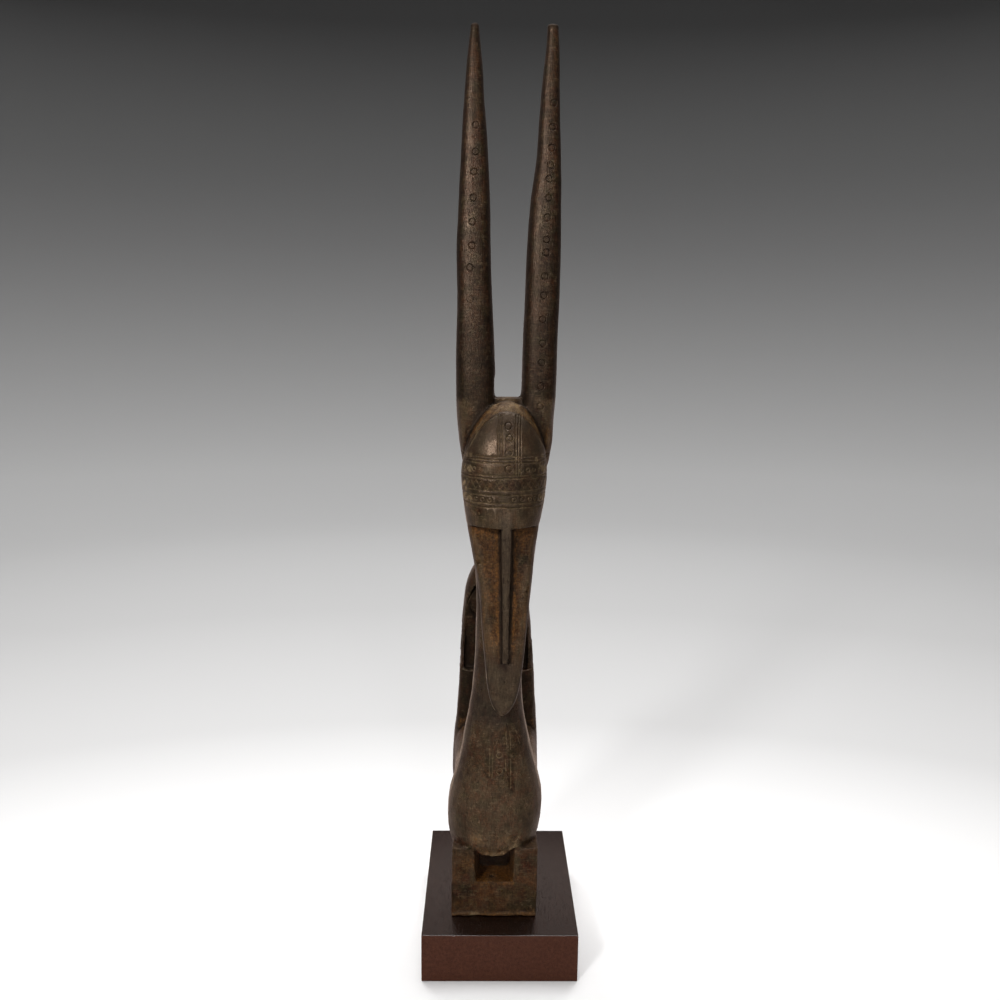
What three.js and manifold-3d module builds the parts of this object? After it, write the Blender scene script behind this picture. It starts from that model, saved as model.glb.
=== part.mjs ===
// An antelope crest carved from one block of hardwood, standing on a stained rectangular plinth.
// Millimetres, +Z up. The front of the antelope faces -Y and its right side is at -X.
// The origin is the centre of the plinth's underside.

import * as THREE from "three";
import { mergeVertices } from "three/addons/utils/BufferGeometryUtils.js";
import Module from "manifold-3d";

const wasm = await Module();
wasm.setup();

// Driving sizes in millimetres.
const carvingHeight = 788;
const plinthThickness = 45;
const plinthEdgeBevel = 0.8;
const marginFront = 28;
const marginBack = 30;
const marginLeft = 25.5;
const marginRight = 36;

// The carving keeps its pose and proportions in thousandths of its own height. All the values of its
// forms below are such shares. They are measured from the middle of the foot slab's underside, and
// sideways from an axis that leans a little to the right on its way up.
const lean = 12;
const share = carvingHeight / 1000;

const slab = { halfWidth: 49.5, halfLength: 79.3, thickness: 43.7 };
const legs = { top: 86, frontEnd: -38, backStart: 44, buriedTop: 110, buriedLength: 8 };
const legNotch = { halfFoot: 21.3, halfTop: 24, halfInside: 16.5, narrowing: 38, top: 100 };
const underBelly = { top: 88, kneeUp: 67, kneeIn: 7 };
const brow = 462;
const crown = 598;
const muzzleTip = 249;
const noseBarEnd = 313;
const cheek = { foot: 316, rim: 0.86, depth: 5.5 };
const rumpLedge = 260;
const fawnHeight = 145;
const gapBottom = 600;

// A smooth curve through every column of a list of stations, read at any place along the form.
function throughStations(stations) {
  const columns = stations[0].length - 1;
  const places = stations.map((station) => station[0]);
  const values = stations.flatMap((station) => station.slice(1));
  const interpolant = new THREE.CubicInterpolant(places, values, columns);
  return (place) => Array.from(interpolant.evaluate(place));
}

// The leaning axis of the carving, sideways from the middle of the slab.
function axisAt(up) {
  return (lean * up) / 1000;
}

// How far a form of unit size has closed at a share of the way into its rounded end.
function roundedEnd(depth, power) {
  const inside = 1 - Math.pow(Math.min(Math.max(depth, 0), 1), power);
  return Math.pow(Math.max(inside, 0), 1 / power);
}

// A level cross-section: an oval with its own half width, reach to the front and reach to the back.
// A power of 2 gives an ellipse, and a higher power a squarer outline.
function levelRing(up, side, back, halfWidth, reachFront, reachBack, power, sides, turn = 0) {
  const ring = [];
  for (let i = 0; i < sides; i += 1) {
    const angle = ((i + turn) / sides) * 2 * Math.PI;
    const c = Math.cos(angle);
    const s = Math.sin(angle);
    const reach = s < 0 ? reachFront : reachBack;
    const x = side + axisAt(up) + halfWidth * Math.sign(c) * Math.pow(Math.abs(c), 2 / power);
    const y = back + reach * Math.sign(s) * Math.pow(Math.abs(s), 2 / power);
    ring.push(new THREE.Vector3(x, y, up));
  }
  return ring;
}

// An upright cross-section, square to the length of the animal, from its underside to its back.
function uprightRing(along, side, halfWidth, underside, topside, power, sides) {
  const ring = [];
  const middle = (underside + topside) / 2;
  const halfHeight = (topside - underside) / 2;
  for (let i = 0; i < sides; i += 1) {
    const angle = (i / sides) * 2 * Math.PI;
    const c = Math.cos(angle);
    const s = Math.sin(angle);
    const z = middle + halfHeight * Math.sign(s) * Math.pow(Math.abs(s), 2 / power);
    const x = side + axisAt(z) + halfWidth * Math.sign(c) * Math.pow(Math.abs(c), 2 / power);
    ring.push(new THREE.Vector3(x, along, z));
  }
  return ring;
}

// A closed skin over a row of rings with equal numbers of points, with a fan at each end.
function skin(rings) {
  const sides = rings[0].length;
  const positions = rings.flat().flatMap((point) => [point.x, point.y, point.z]);
  const index = [];
  for (let i = 0; i + 1 < rings.length; i += 1) {
    for (let j = 0; j < sides; j += 1) {
      const a = i * sides + j;
      const b = i * sides + ((j + 1) % sides);
      index.push(a, b, b + sides, a, b + sides, a + sides);
    }
  }
  [rings[0], rings[rings.length - 1]].forEach((ring, end) => {
    const middle = ring.reduce((sum, point) => sum.add(point), new THREE.Vector3()).divideScalar(sides);
    const hub = positions.length / 3;
    positions.push(middle.x, middle.y, middle.z);
    const first = end === 0 ? 0 : (rings.length - 1) * sides;
    for (let j = 0; j < sides; j += 1) {
      const a = first + j;
      const b = first + ((j + 1) % sides);
      index.push(...(end === 0 ? [hub, b, a] : [hub, a, b]));
    }
  });
  const geometry = new THREE.BufferGeometry();
  geometry.setAttribute("position", new THREE.Float32BufferAttribute(positions, 3));
  geometry.setIndex(index);
  return geometry;
}

// A closed body from a geometry, ready to be joined or cut. A skin whose rings run the other way round
// is turned so that its faces point outwards.
function solid(geometry) {
  const bare = geometry.clone();
  bare.deleteAttribute("normal");
  bare.deleteAttribute("uv");
  const merged = mergeVertices(bare, 1e-4);
  const vertices = merged.getAttribute("position").array;
  const triangles = merged.index.array;
  let volume = 0;
  const corner = [0, 1, 2].map(() => new THREE.Vector3());
  for (let i = 0; i < triangles.length; i += 3) {
    corner.forEach((point, k) => point.fromArray(vertices, 3 * triangles[i + k]));
    volume += corner[0].dot(corner[1].clone().cross(corner[2]));
  }
  const triVerts = new Uint32Array(triangles);
  if (volume < 0) {
    for (let i = 0; i < triVerts.length; i += 3) {
      [triVerts[i], triVerts[i + 1]] = [triVerts[i + 1], triVerts[i]];
    }
  }
  const vertProperties = new Float32Array(vertices);
  return new wasm.Manifold(new wasm.Mesh({ numProp: 3, vertProperties, triVerts }));
}

// The first and last rings of a form stand this share of its height inside its ends.
const endShare = 0.0015;

// A form stacked from level cross-sections. Each station is a height followed by the middle sideways,
// the middle from front to back, the half width, the reach to the front and the reach to the back.
// The ends can close in a rounded dome of a given height.
function levelForm(stations, options) {
  const { rings, sides, power = 2, domeTop = 0, domeBottom = 0, domePower = 2, turn = 0 } = options;
  const at = throughStations(stations);
  const bottom = stations[0][0];
  const top = stations[stations.length - 1][0];
  const list = [];
  for (let i = 0; i <= rings; i += 1) {
    const even = i / rings;
    const eased = (1 - Math.cos(Math.PI * even)) / 2;
    const spread = domeTop > 0 || domeBottom > 0 ? eased : even;
    const up = bottom + (top - bottom) * Math.min(Math.max(spread, endShare), 1 - endShare);
    const [side, back, halfWidth, reachFront, reachBack] = at(up);
    const above = domeTop > 0 ? roundedEnd((up - (top - domeTop)) / domeTop, domePower) : 1;
    const below = domeBottom > 0 ? roundedEnd((bottom + domeBottom - up) / domeBottom, domePower) : 1;
    const reaches = [halfWidth, reachFront, reachBack].map((reach) => reach * above * below);
    list.push(levelRing(up, side, back, ...reaches, power, sides, turn));
  }
  return solid(skin(list));
}

// A rectangular block between two corners, each a place sideways, from front to back and up.
function block(low, high) {
  const size = high.map((value, axis) => value - low[axis]);
  const geometry = new THREE.BoxGeometry(...size);
  geometry.translate(...low.map((value, axis) => value + size[axis] / 2));
  return solid(geometry);
}

// A flat outline, drawn sideways and up, pushed from one place to another from front to back.
function pushedBack(shape, from, to, curveSegments = 8) {
  const depth = to - from;
  const geometry = new THREE.ExtrudeGeometry(shape, { depth, bevelEnabled: false, curveSegments });
  geometry.rotateX(Math.PI / 2);
  geometry.translate(0, to, 0);
  return solid(geometry);
}

// A flat outline, drawn along the animal and up, pushed from one place to another sideways.
function pushedSideways(shape, from, to, curveSegments = 8) {
  const depth = to - from;
  const geometry = new THREE.ExtrudeGeometry(shape, { depth, bevelEnabled: false, curveSegments });
  geometry.rotateX(Math.PI / 2);
  geometry.rotateZ(Math.PI / 2);
  geometry.translate(from, 0, 0);
  return solid(geometry);
}

// The foot slab with two pairs of short legs, cut free under the belly and between the legs of a pair.
function makeFoot() {
  const leanAtLegs = axisAt(legs.top / 2);
  const half = slab.halfWidth;
  const base = block([-half, -slab.halfLength, 0], [half, slab.halfLength, slab.thickness]);
  const front = block(
    [leanAtLegs - half, -slab.halfLength, slab.thickness / 2],
    [leanAtLegs + half, legs.frontEnd + legs.buriedLength, legs.top],
  );
  const back = block(
    [leanAtLegs - half, legs.backStart - legs.buriedLength, slab.thickness / 2],
    [leanAtLegs + half, slab.halfLength, legs.buriedTop],
  );
  const notchRing = (along, halfFoot, halfTop) => [
    new THREE.Vector3(-halfFoot, along, slab.thickness),
    new THREE.Vector3(halfFoot, along, slab.thickness),
    new THREE.Vector3(halfTop, along, legNotch.top),
    new THREE.Vector3(-halfTop, along, legNotch.top),
  ];
  const reach = slab.halfLength + 1;
  const outside = [legNotch.halfFoot, legNotch.halfTop];
  const inside = [legNotch.halfInside, legNotch.halfInside];
  const narrow = slab.halfLength - legNotch.narrowing;
  const frontNotch = solid(skin([
    notchRing(-reach, ...outside),
    notchRing(-narrow, ...inside),
    notchRing(0, ...inside),
  ]));
  const backNotch = solid(skin([
    notchRing(0, ...inside),
    notchRing(narrow, ...inside),
    notchRing(reach, ...outside),
  ]));
  const opening = new THREE.Shape();
  opening.moveTo(legs.frontEnd, slab.thickness);
  opening.lineTo(legs.backStart, slab.thickness);
  opening.lineTo(legs.backStart - underBelly.kneeIn, underBelly.kneeUp);
  opening.lineTo(legs.backStart, underBelly.top);
  opening.lineTo(legs.frontEnd, underBelly.top);
  opening.lineTo(legs.frontEnd + underBelly.kneeIn, underBelly.kneeUp);
  const underneath = pushedSideways(opening, -2 * half, 2 * half);
  return { body: base.add(front).add(back), cuts: frontNotch.add(backNotch).add(underneath) };
}

// The trunk from the chest to the rump.
function makeTrunk() {
  const from = legs.frontEnd - 2;
  const to = slab.halfLength - 0.4;
  const at = throughStations([
    [from, 0, 47, 96, 178],
    [-10, 0, 50, 86, 184],
    [20, 0, 51.5, 84, 193],
    [50, 0, 52, 86, 206],
    [to, 0, 46, 96, 196],
  ]);
  const rings = [];
  const count = 12;
  for (let i = 0; i <= count; i += 1) {
    const along = from + ((to - from) * i) / count;
    const [side, halfWidth, underside, topside] = at(along);
    rings.push(uprightRing(along, side, halfWidth, underside, topside, 3.4, 24));
  }
  return solid(skin(rings));
}

// The raised rump, with an upright front, a flat ledge on top and a short tail down its back.
function makeRump() {
  const mass = levelForm([
    [legs.top, -0.8, 54, 49.5, 22, 25],
    [120, -0.8, 54, 53.4, 25, 25.3],
    [150, -0.7, 54, 53.6, 26, 26],
    [193, -0.5, 54, 51, 25.5, 26],
    [223, -0.7, 54, 48.6, 25, 25],
    [rumpLedge, -1.5, 54, 46.7, 25, 23],
  ], { rings: 10, sides: 28, power: 4.5 });
  const tail = levelForm([
    [118, 0, 82, 3.5, 3, 3],
    [170, 0, 83, 5, 5, 4],
    [225, 0, 80, 6, 8, 4],
    [250, 0, 74, 5, 6, 3],
  ], { rings: 8, sides: 10, power: 2 });
  return mass.add(tail);
}

// The chest, which bulges low over the front legs, with the neck rising out of it to the nape.
function makeNeckAndChest() {
  return levelForm([
    [62, -3.8, -34, 55.5, 55, 46],
    [101, -2.2, -34, 55.2, 54, 48],
    [120, -1.2, -34, 55.8, 54, 50],
    [139, -0.6, -34, 54.5, 51, 50],
    [165, -0.5, -35, 48, 46, 46],
    [190, -0.8, -36, 41.7, 40, 42],
    [210, -2, -36.5, 37.9, 36, 38],
    [231, -2.6, -37, 33.4, 32.5, 34],
    [254, -2.3, -37, 30, 29.5, 31],
    [290, -1.6, -36, 27.8, 27.5, 29],
    [330, -0.8, -33, 27.5, 27, 29],
    [378, -0.6, -29, 28, 27, 30],
    [430, 0, -25, 33, 30, 34],
    [480, 0, -23, 40, 34, 36],
    [530, 1, -22, 43, 36, 38],
    [570, 2, -21, 38, 28, 27],
    [gapBottom, 2.5, -21, 33, 18, 16],
  ], { rings: 36, sides: 28, domeBottom: 56, domePower: 3.3, power: 2.15 });
}

// The domed forehead ends below in a sharp level ledge, the brow.
function makeForehead() {
  return levelForm([
    [brow, 0, -56, 40.6, 41, 50],
    [488, 0, -56, 44.9, 40, 48],
    [515, -0.3, -54, 47.4, 39, 46],
    [532, 0, -53, 47.6, 38, 44],
    [565, 0.6, -51, 47.4, 36, 40],
    [crown, 1.5, -48, 46, 32, 36],
  ], { rings: 16, sides: 32, domeTop: 83, domePower: 1.85, power: 2.1 });
}

// The long face under the brow, narrowing to the muzzle that hangs just clear of the neck.
const faceStations = [
  [muzzleTip, 3.6, -88, 19.6, 12, 9],
  [281, 4.1, -87, 19, 9.5, 15],
  [311, 4.2, -84, 21.6, 11, 19],
  [333, 3.9, -81, 23.9, 12.5, 20],
  [361, 3.6, -77, 26.5, 15, 20],
  [391, 3.2, -72, 29.2, 18.5, 21],
  [434, 0.8, -62, 35.7, 25, 30],
  [brow, 0, -56, 40, 29.5, 44],
  [500, 0, -56, 42, 28, 44],
];
const facePower = 2.7;

function makeFace() {
  const muzzle = { domeBottom: 46, domePower: 1.85 };
  return levelForm(faceStations, { rings: 24, sides: 28, power: facePower, ...muzzle });
}

// The straight nose bar runs out of the forehead, flush with it, down to its blunt end above the muzzle.
const noseBarStations = [
  [noseBarEnd, 5.4, -90, 3.9, 8.5, 12],
  [341, 4.9, -88, 4, 10, 12],
  [386, 4.3, -85, 4.9, 11, 14],
  [brow, 3, -80, 6.2, 17.2, 16],
  [brow + 22, 2.8, -78, 5.4, 16.6, 16],
];

function makeNoseBar() {
  return levelForm(noseBarStations, { rings: 9, sides: 12, power: 5 });
}

// The hollow of one cheek: deepest beside the nose bar and under the brow, it runs out at the rim of the
// face and above the muzzle.
function makeCheekHollow(hand) {
  const faceAt = throughStations(faceStations);
  const barAt = throughStations(noseBarStations);
  const rings = [];
  const count = 9;
  for (let i = 0; i <= count; i += 1) {
    const rise = i / count;
    const up = cheek.foot + (brow - cheek.foot) * rise;
    const [side, back, halfWidth, reachFront] = faceAt(up);
    const surface = (across) => back - reachFront * roundedEnd(across / halfWidth, facePower);
    const middle = side + axisAt(up);
    const [barSide, , barHalfWidth] = barAt(up);
    const inner = hand * (barSide - side) + barHalfWidth / 2;
    const outer = cheek.rim * halfWidth;
    const depth = cheek.depth * Math.pow(rise, 0.6);
    const runOut = 0.3 + 3 * Math.pow(1 - rise, 3);
    const ahead = surface(0) - halfWidth;
    rings.push([
      new THREE.Vector3(middle + hand * inner, ahead, up),
      new THREE.Vector3(middle + hand * outer, ahead, up),
      new THREE.Vector3(middle + hand * outer, surface(outer) - runOut, up),
      new THREE.Vector3(middle + hand * inner, surface(inner) - runOut + depth, up),
    ]);
  }
  return solid(skin(rings));
}

// One long horn: an eight-sided shaft with softened corners that tapers to a blunt cut tip.
function makeHorn(hand) {
  const leftHand = [
    [480, -20, -27, 12, 14, 14],
    [515, -26.5, -27, 18, 19, 20],
    [550, -31, -27, 20.3, 22.5, 23],
    [600, -33, -25, 22.4, 24, 24],
    [664, -35.1, -19, 21.5, 22, 22],
    [706, -36.6, -14.5, 19.8, 20.5, 20.5],
    [763, -39, -7.5, 19.3, 19, 19],
    [805, -39.1, -2, 18, 17.5, 17.5],
    [857, -40, 3.5, 15.7, 15, 15],
    [924, -41.6, 10.5, 11.4, 11, 11],
    [974, -42, 15.5, 7.8, 8, 8],
    [1000, -42.3, 18, 4.7, 5.5, 5.5],
  ];
  const rightHand = [
    [480, 20, -27, 12, 14, 14],
    [515, 28.5, -27, 18.5, 19, 20],
    [550, 33.6, -27, 20, 22.5, 23],
    [572, 34.7, -26.2, 19.3, 23.5, 23.7],
    [600, 36.3, -25, 19.7, 24, 24],
    [664, 36.7, -19, 19.5, 22, 22],
    [706, 37.8, -14.5, 19.5, 20.5, 20.5],
    [763, 38.6, -7.5, 19.2, 19, 19],
    [805, 39.3, -2, 17.7, 17.5, 17.5],
    [857, 41.7, 3.5, 13.9, 15, 15],
    [924, 41.5, 10.5, 10.9, 11, 11],
    [974, 43.1, 15.5, 8.1, 8, 8],
    [1000, 42.7, 18, 6.4, 6.5, 6.5],
  ];
  return levelForm(hand < 0 ? leftHand : rightHand, { rings: 22, sides: 16, power: 2.7, turn: 0.5 });
}

// The young animal that stands on the rump. Its thin forelegs and its shoulders make a tall arch round a
// dark hollow with a rounded chest in its top. Its neck, head and short horns rise behind the big head.
function makeFawn() {
  const shoulders = rumpLedge + fawnHeight;
  const mass = levelForm([
    [rumpLedge - 3, -1.5, 58, 47, 29, 20],
    [rumpLedge + 16, -1.8, 58, 46.7, 29, 22],
    [rumpLedge + 44, -2.6, 60, 44.4, 31, 30],
    [shoulders - 65, -3.5, 62, 40.9, 33, 34],
    [shoulders, 0.4, 60, 40.6, 31, 30],
  ], { rings: 16, sides: 28, power: 3.2, domeTop: 65, domePower: 2.3 });

  // The arches between its legs: a half width, the height at which the arch springs, and its rise.
  const splay = 1.5;
  const middle = -2.6 + axisAt(rumpLedge);
  const arch = (halfWidth, spring, rise) => {
    const shape = new THREE.Shape();
    shape.moveTo(middle - halfWidth - splay, rumpLedge);
    shape.lineTo(middle + halfWidth + splay, rumpLedge);
    shape.lineTo(middle + halfWidth, rumpLedge + spring);
    shape.absellipse(middle, rumpLedge + spring, halfWidth, rise, 0, Math.PI, false, 0);
    return shape;
  };
  const foreHollow = pushedBack(arch(37.6, 65, 55), 20, 41, 12);
  const hindHollow = pushedBack(arch(20, 28, 16), 73, 110, 8);
  const side = { middle: 57, halfWidth: 10, spring: 36, rise: 17, foot: 46 };
  const belly = new THREE.Shape();
  belly.moveTo(side.foot, rumpLedge);
  belly.lineTo(side.middle + side.halfWidth - 4, rumpLedge);
  belly.lineTo(side.middle + side.halfWidth, rumpLedge + side.spring);
  belly.absellipse(side.middle, rumpLedge + side.spring, side.halfWidth, side.rise, 0, Math.PI, false, 0);
  const underBellyHollow = pushedSideways(belly, -70, 70, 8);

  const chest = levelForm([
    [rumpLedge + 56, -2.6, 45, 35, 14, 14],
    [rumpLedge + 85, -2.6, 44, 34, 16, 14],
    [rumpLedge + 120, -2.6, 48, 24, 14, 12],
  ], { rings: 8, sides: 20, power: 2.2, domeTop: 35, domeBottom: 28 });
  const neck = levelForm([
    [shoulders - 35, -1, 56, 17, 18, 19],
    [shoulders + 15, 0, 56, 14, 14, 15],
    [shoulders + 65, 0, 54, 13, 12, 15],
    [shoulders + 125, 0, 52, 12, 10, 13],
  ], { rings: 10, sides: 14, domeTop: 30 });
  const head = levelForm([
    [shoulders + 21, 0, 15, 8, 8, 9],
    [shoulders + 53, 0, 26, 11.5, 12, 14],
    [shoulders + 85, 0, 37, 15, 15, 18],
    [shoulders + 115, 0, 48, 17, 18, 17],
    [shoulders + 135, 0, 52, 15, 16, 15],
  ], { rings: 12, sides: 16, domeTop: 26, domeBottom: 14 });
  const horns = [-1, 1].map((hand) => levelForm([
    [shoulders + 110, hand * 8, 56, 5.5, 6, 6],
    [shoulders + 143, hand * 9.5, 60, 4.4, 5, 5],
    [shoulders + 173, hand * 11, 67, 2.2, 2.5, 2.5],
  ], { rings: 5, sides: 8, turn: 0.5 }));
  const hollows = [foreHollow, hindHollow, underBellyHollow];
  const standing = hollows.reduce((whole, hollow) => whole.subtract(hollow), mass);
  return [chest, neck, head, ...horns].reduce((whole, form) => whole.add(form), standing);
}

function makeCarving() {
  const foot = makeFoot();
  const animal = [makeTrunk(), makeRump(), makeNeckAndChest(), makeForehead(), makeFace()]
    .reduce((whole, form) => whole.add(form));
  const hollowed = [-1, 1].reduce((whole, hand) => whole.subtract(makeCheekHollow(hand)), animal);
  return foot.body.subtract(foot.cuts)
    .add(hollowed.subtract(foot.cuts))
    .add(makeNoseBar())
    .add(makeHorn(-1))
    .add(makeHorn(1))
    .add(makeFawn());
}

function toGeometry(body, scale) {
  const mesh = body.getMesh();
  const positions = new Float32Array(3 * mesh.numVert);
  for (let i = 0; i < mesh.numVert; i += 1) {
    for (let axis = 0; axis < 3; axis += 1) {
      positions[3 * i + axis] = mesh.vertProperties[mesh.numProp * i + axis] * scale;
    }
  }
  const geometry = new THREE.BufferGeometry();
  geometry.setAttribute("position", new THREE.BufferAttribute(positions, 3));
  geometry.setIndex(new THREE.BufferAttribute(new Uint32Array(mesh.triVerts), 1));
  geometry.computeVertexNormals();
  return geometry;
}

const slabWidth = 2 * slab.halfWidth * share;
const slabLength = 2 * slab.halfLength * share;
const plinthWidth = slabWidth + marginLeft + marginRight;
const plinthLength = slabLength + marginFront + marginBack;

// A block with straight sides and a fine bevel round its top edge.
function makePlinth() {
  const ring = (up, inset) => [[-1, -1], [1, -1], [1, 1], [-1, 1]].map(([x, y]) => new THREE.Vector3(
    x * (plinthWidth / 2 - inset),
    y * (plinthLength / 2 - inset),
    up,
  ));
  return solid(skin([
    ring(0, 0),
    ring(plinthThickness - plinthEdgeBevel, 0),
    ring(plinthThickness, plinthEdgeBevel),
  ]));
}

const carvedWood = new THREE.MeshStandardMaterial({ color: "#3b2a21", roughness: 0.5, metalness: 0 });
const stainedWood = new THREE.MeshStandardMaterial({ color: "#3f241d", roughness: 0.35, metalness: 0 });

const carving = new THREE.Mesh(toGeometry(makeCarving(), share), carvedWood);
carving.name = "carving";
carving.position.set((marginLeft - marginRight) / 2, (marginFront - marginBack) / 2, plinthThickness);

const plinth = new THREE.Mesh(toGeometry(makePlinth(), 1), stainedWood);
plinth.name = "plinth";

const headdress = new THREE.Group();
headdress.add(plinth, carving);

export default headdress;
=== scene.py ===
# %% [markdown]
# # A carved antelope crest on its plinth
#
# The object is a tall dance crest: an antelope with long upright horns and a young one standing on its
# rump. A carver cut the whole of it from one block of dense hardwood with adze and knife, and years of
# oil, smoke and hands have turned it dark. A collector later had it set on a stained block.
#
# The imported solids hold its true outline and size. This lesson keeps that form and adds what makes it look
# carved and old: softened facets, tool marks, engraved rings and lines, chips, and a worn patina.

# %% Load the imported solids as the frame
import math

import bmesh
import bpy
import numpy as np
from mathutils import Matrix, Vector, kdtree


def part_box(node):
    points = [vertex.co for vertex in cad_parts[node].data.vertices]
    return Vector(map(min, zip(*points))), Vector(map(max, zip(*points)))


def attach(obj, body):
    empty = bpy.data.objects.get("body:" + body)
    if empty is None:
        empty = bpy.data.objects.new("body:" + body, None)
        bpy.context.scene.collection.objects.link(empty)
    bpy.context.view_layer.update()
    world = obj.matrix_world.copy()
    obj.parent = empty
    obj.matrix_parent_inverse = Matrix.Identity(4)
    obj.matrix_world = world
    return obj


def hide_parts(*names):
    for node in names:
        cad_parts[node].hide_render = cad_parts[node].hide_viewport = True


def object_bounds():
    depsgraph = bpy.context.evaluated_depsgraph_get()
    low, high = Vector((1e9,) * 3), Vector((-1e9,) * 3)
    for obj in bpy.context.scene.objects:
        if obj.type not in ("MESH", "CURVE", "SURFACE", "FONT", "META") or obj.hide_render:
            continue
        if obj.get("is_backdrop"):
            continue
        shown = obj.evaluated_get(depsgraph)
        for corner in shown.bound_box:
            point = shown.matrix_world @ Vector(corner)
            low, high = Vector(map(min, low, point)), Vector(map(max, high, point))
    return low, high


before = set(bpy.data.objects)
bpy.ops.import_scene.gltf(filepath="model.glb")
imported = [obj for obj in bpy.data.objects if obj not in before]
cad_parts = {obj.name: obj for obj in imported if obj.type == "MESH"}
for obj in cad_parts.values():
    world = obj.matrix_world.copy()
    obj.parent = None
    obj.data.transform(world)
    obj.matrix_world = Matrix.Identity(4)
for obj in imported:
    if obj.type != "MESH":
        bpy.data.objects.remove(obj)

CAD_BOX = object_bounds()
MM = 0.001


def print_box(title, box):
    print(title, [[round(value / MM, 1) for value in corner] for corner in box])


print_box("box of the solids in mm:", CAD_BOX)

# %% [markdown]
# ## The camera
#
# The photograph was taken from the front, a little above the middle of the crest, with the lens turned
# down by some ten degrees. The camera comes first, because every later decision about how fine a detail has
# to be depends on how large it appears. Its place was worked out from the four corners of the plinth's
# top, which is known to be a level rectangle.

# %% Camera
CAMERA_PLACE = Vector((-17.0, -856.5, 567.0)) * MM
TURNED_DOWN = math.radians(9.66)
TURNED_ASIDE = math.radians(-0.93)
TILTED = math.radians(0.68)
SENSOR = 36.0
FOCAL_IN_PICTURE_WIDTHS = 0.95
NEAREST, FARTHEST = 0.05, 50


def add_object(name, data):
    thing = bpy.data.objects.new(name, data)
    bpy.context.scene.collection.objects.link(thing)
    return thing


camera = add_object("camera", bpy.data.cameras.new("camera"))
camera.data.sensor_width = SENSOR
camera.data.lens = SENSOR * FOCAL_IN_PICTURE_WIDTHS
camera.data.clip_start, camera.data.clip_end = NEAREST, FARTHEST
facing_north = Matrix.Rotation(TURNED_ASIDE, 4, "Z") @ Matrix.Rotation(math.pi / 2 - TURNED_DOWN, 4, "X")
camera.matrix_world = Matrix.Translation(CAMERA_PLACE) @ facing_north @ Matrix.Rotation(TILTED, 4, "Z")
bpy.context.scene.camera = camera
print("lens in mm:", round(camera.data.lens, 1))

# %% [markdown]
# ## A ruler for the carving
#
# A carver thinks in proportions: the brow at so much of the height, the ledge at so much. So every place
# on the crest is given here in thousandths of its height, measured from the middle of the foot slab. The
# crest leans a little, so sideways places are taken from a leaning axis.

# %% Places on the carving
carving_low, carving_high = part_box("carving")
SHARE = (carving_high.z - carving_low.z) / 1000
SLAB_MIDDLE = np.array((-5.25 * MM, -1.0 * MM, carving_low.z))
LEAN = 0.012

SLAB_TOP = 43.7
SLAB_HALF_LENGTH = 79.3
LEG_TOP = 86
CHIN = 225
RUMP_LEDGE = 260
BAR_FOOT = 313
BROW = 462
HORNS_FROM, HORN_TIPS = 600, 1000


def in_shares(points):
    """Places sideways from the leaning axis, from front to back and up, in thousandths of the height."""
    local = (points - SLAB_MIDDLE) / SHARE
    side = local[:, 0] - LEAN * local[:, 2]
    return side, local[:, 1], local[:, 2]


def in_metres(place):
    """The place in the shared frame for one given in thousandths of the height."""
    return Vector([middle + share * SHARE for middle, share in zip(SLAB_MIDDLE, place)])


print("height of the carving in mm:", round(1000 * SHARE / MM, 1))

# %% [markdown]
# ## From faceted solid to carved wood
#
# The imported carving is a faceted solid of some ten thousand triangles: right in outline, but each facet is
# as wide as a thumb. Real carving is smooth where it was scraped and handled, and crisp only where the
# knife left a ledge. One could subdivide the facets, but the joints between the forms would pucker. A
# voxel remesh lays an even skin of small squares over the whole form instead, as if it were cast in one
# piece, and a smoothing that fades out near the crisp edges then takes the facets away and keeps the ledges.

# %% Even skin
SKIN_STEP = 0.9 * MM


def vectors_of(mesh, what):
    """The places ("co") or the normals ("normal") of all points of a mesh."""
    flat = np.empty(3 * len(mesh.vertices), np.float32)
    mesh.vertices.foreach_get(what, flat)
    return flat.reshape(-1, 3).astype(float)


def skin_and_normals():
    return vectors_of(carving.data, "co"), vectors_of(carving.data, "normal")


def move_to(mesh, positions):
    mesh.vertices.foreach_set("co", positions.astype(np.float32).ravel())
    mesh.update()


def apply_modifiers(piece):
    """Keeps the modified shape as the piece's own mesh."""
    graph = bpy.context.evaluated_depsgraph_get()
    old = piece.data
    piece.data = bpy.data.meshes.new_from_object(piece.evaluated_get(graph))
    piece.modifiers.clear()
    bpy.data.meshes.remove(old)


def shade_smooth(piece):
    piece.data.polygons.foreach_set("use_smooth", [True] * len(piece.data.polygons))


carving = add_object("antelope_crest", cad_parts["carving"].data.copy())
solid = bmesh.new()
solid.from_mesh(carving.data)
bmesh.ops.remove_doubles(solid, verts=solid.verts, dist=0.001 * MM)
solid.to_mesh(carving.data)
remesh = carving.modifiers.new("even skin", "REMESH")
remesh.mode = "VOXEL"
remesh.voxel_size = SKIN_STEP
apply_modifiers(carving)
print("squares in the even skin:", len(carving.data.polygons))

# %% [markdown]
# ## Which edges stay crisp
#
# The ledges, the nose bar, the foot and the joints between the forms are edges where two facets of the
# solid meet at a steep angle. Their places are kept in a search tree, so that any point of the skin can ask
# how far it is from the nearest one. Outer edges are kept apart from inner ones, because hands
# and knocks wear the first, and dust settles in the second.

# %% Crisp edges
CRISP_ANGLE = math.radians(42)
CRISP_SAMPLE = 1.2 * MM


def tree_of(points):
    tree = kdtree.KDTree(len(points))
    for index, point in enumerate(points):
        tree.insert(point, index)
    tree.balance()
    return tree


def distances(tree, points, limit):
    """How far each point is from the nearest one in the tree, up to a limit."""
    found = (tree.find(point)[2] for point in points)
    return np.minimum(np.fromiter(found, float, len(points)), limit)


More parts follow.
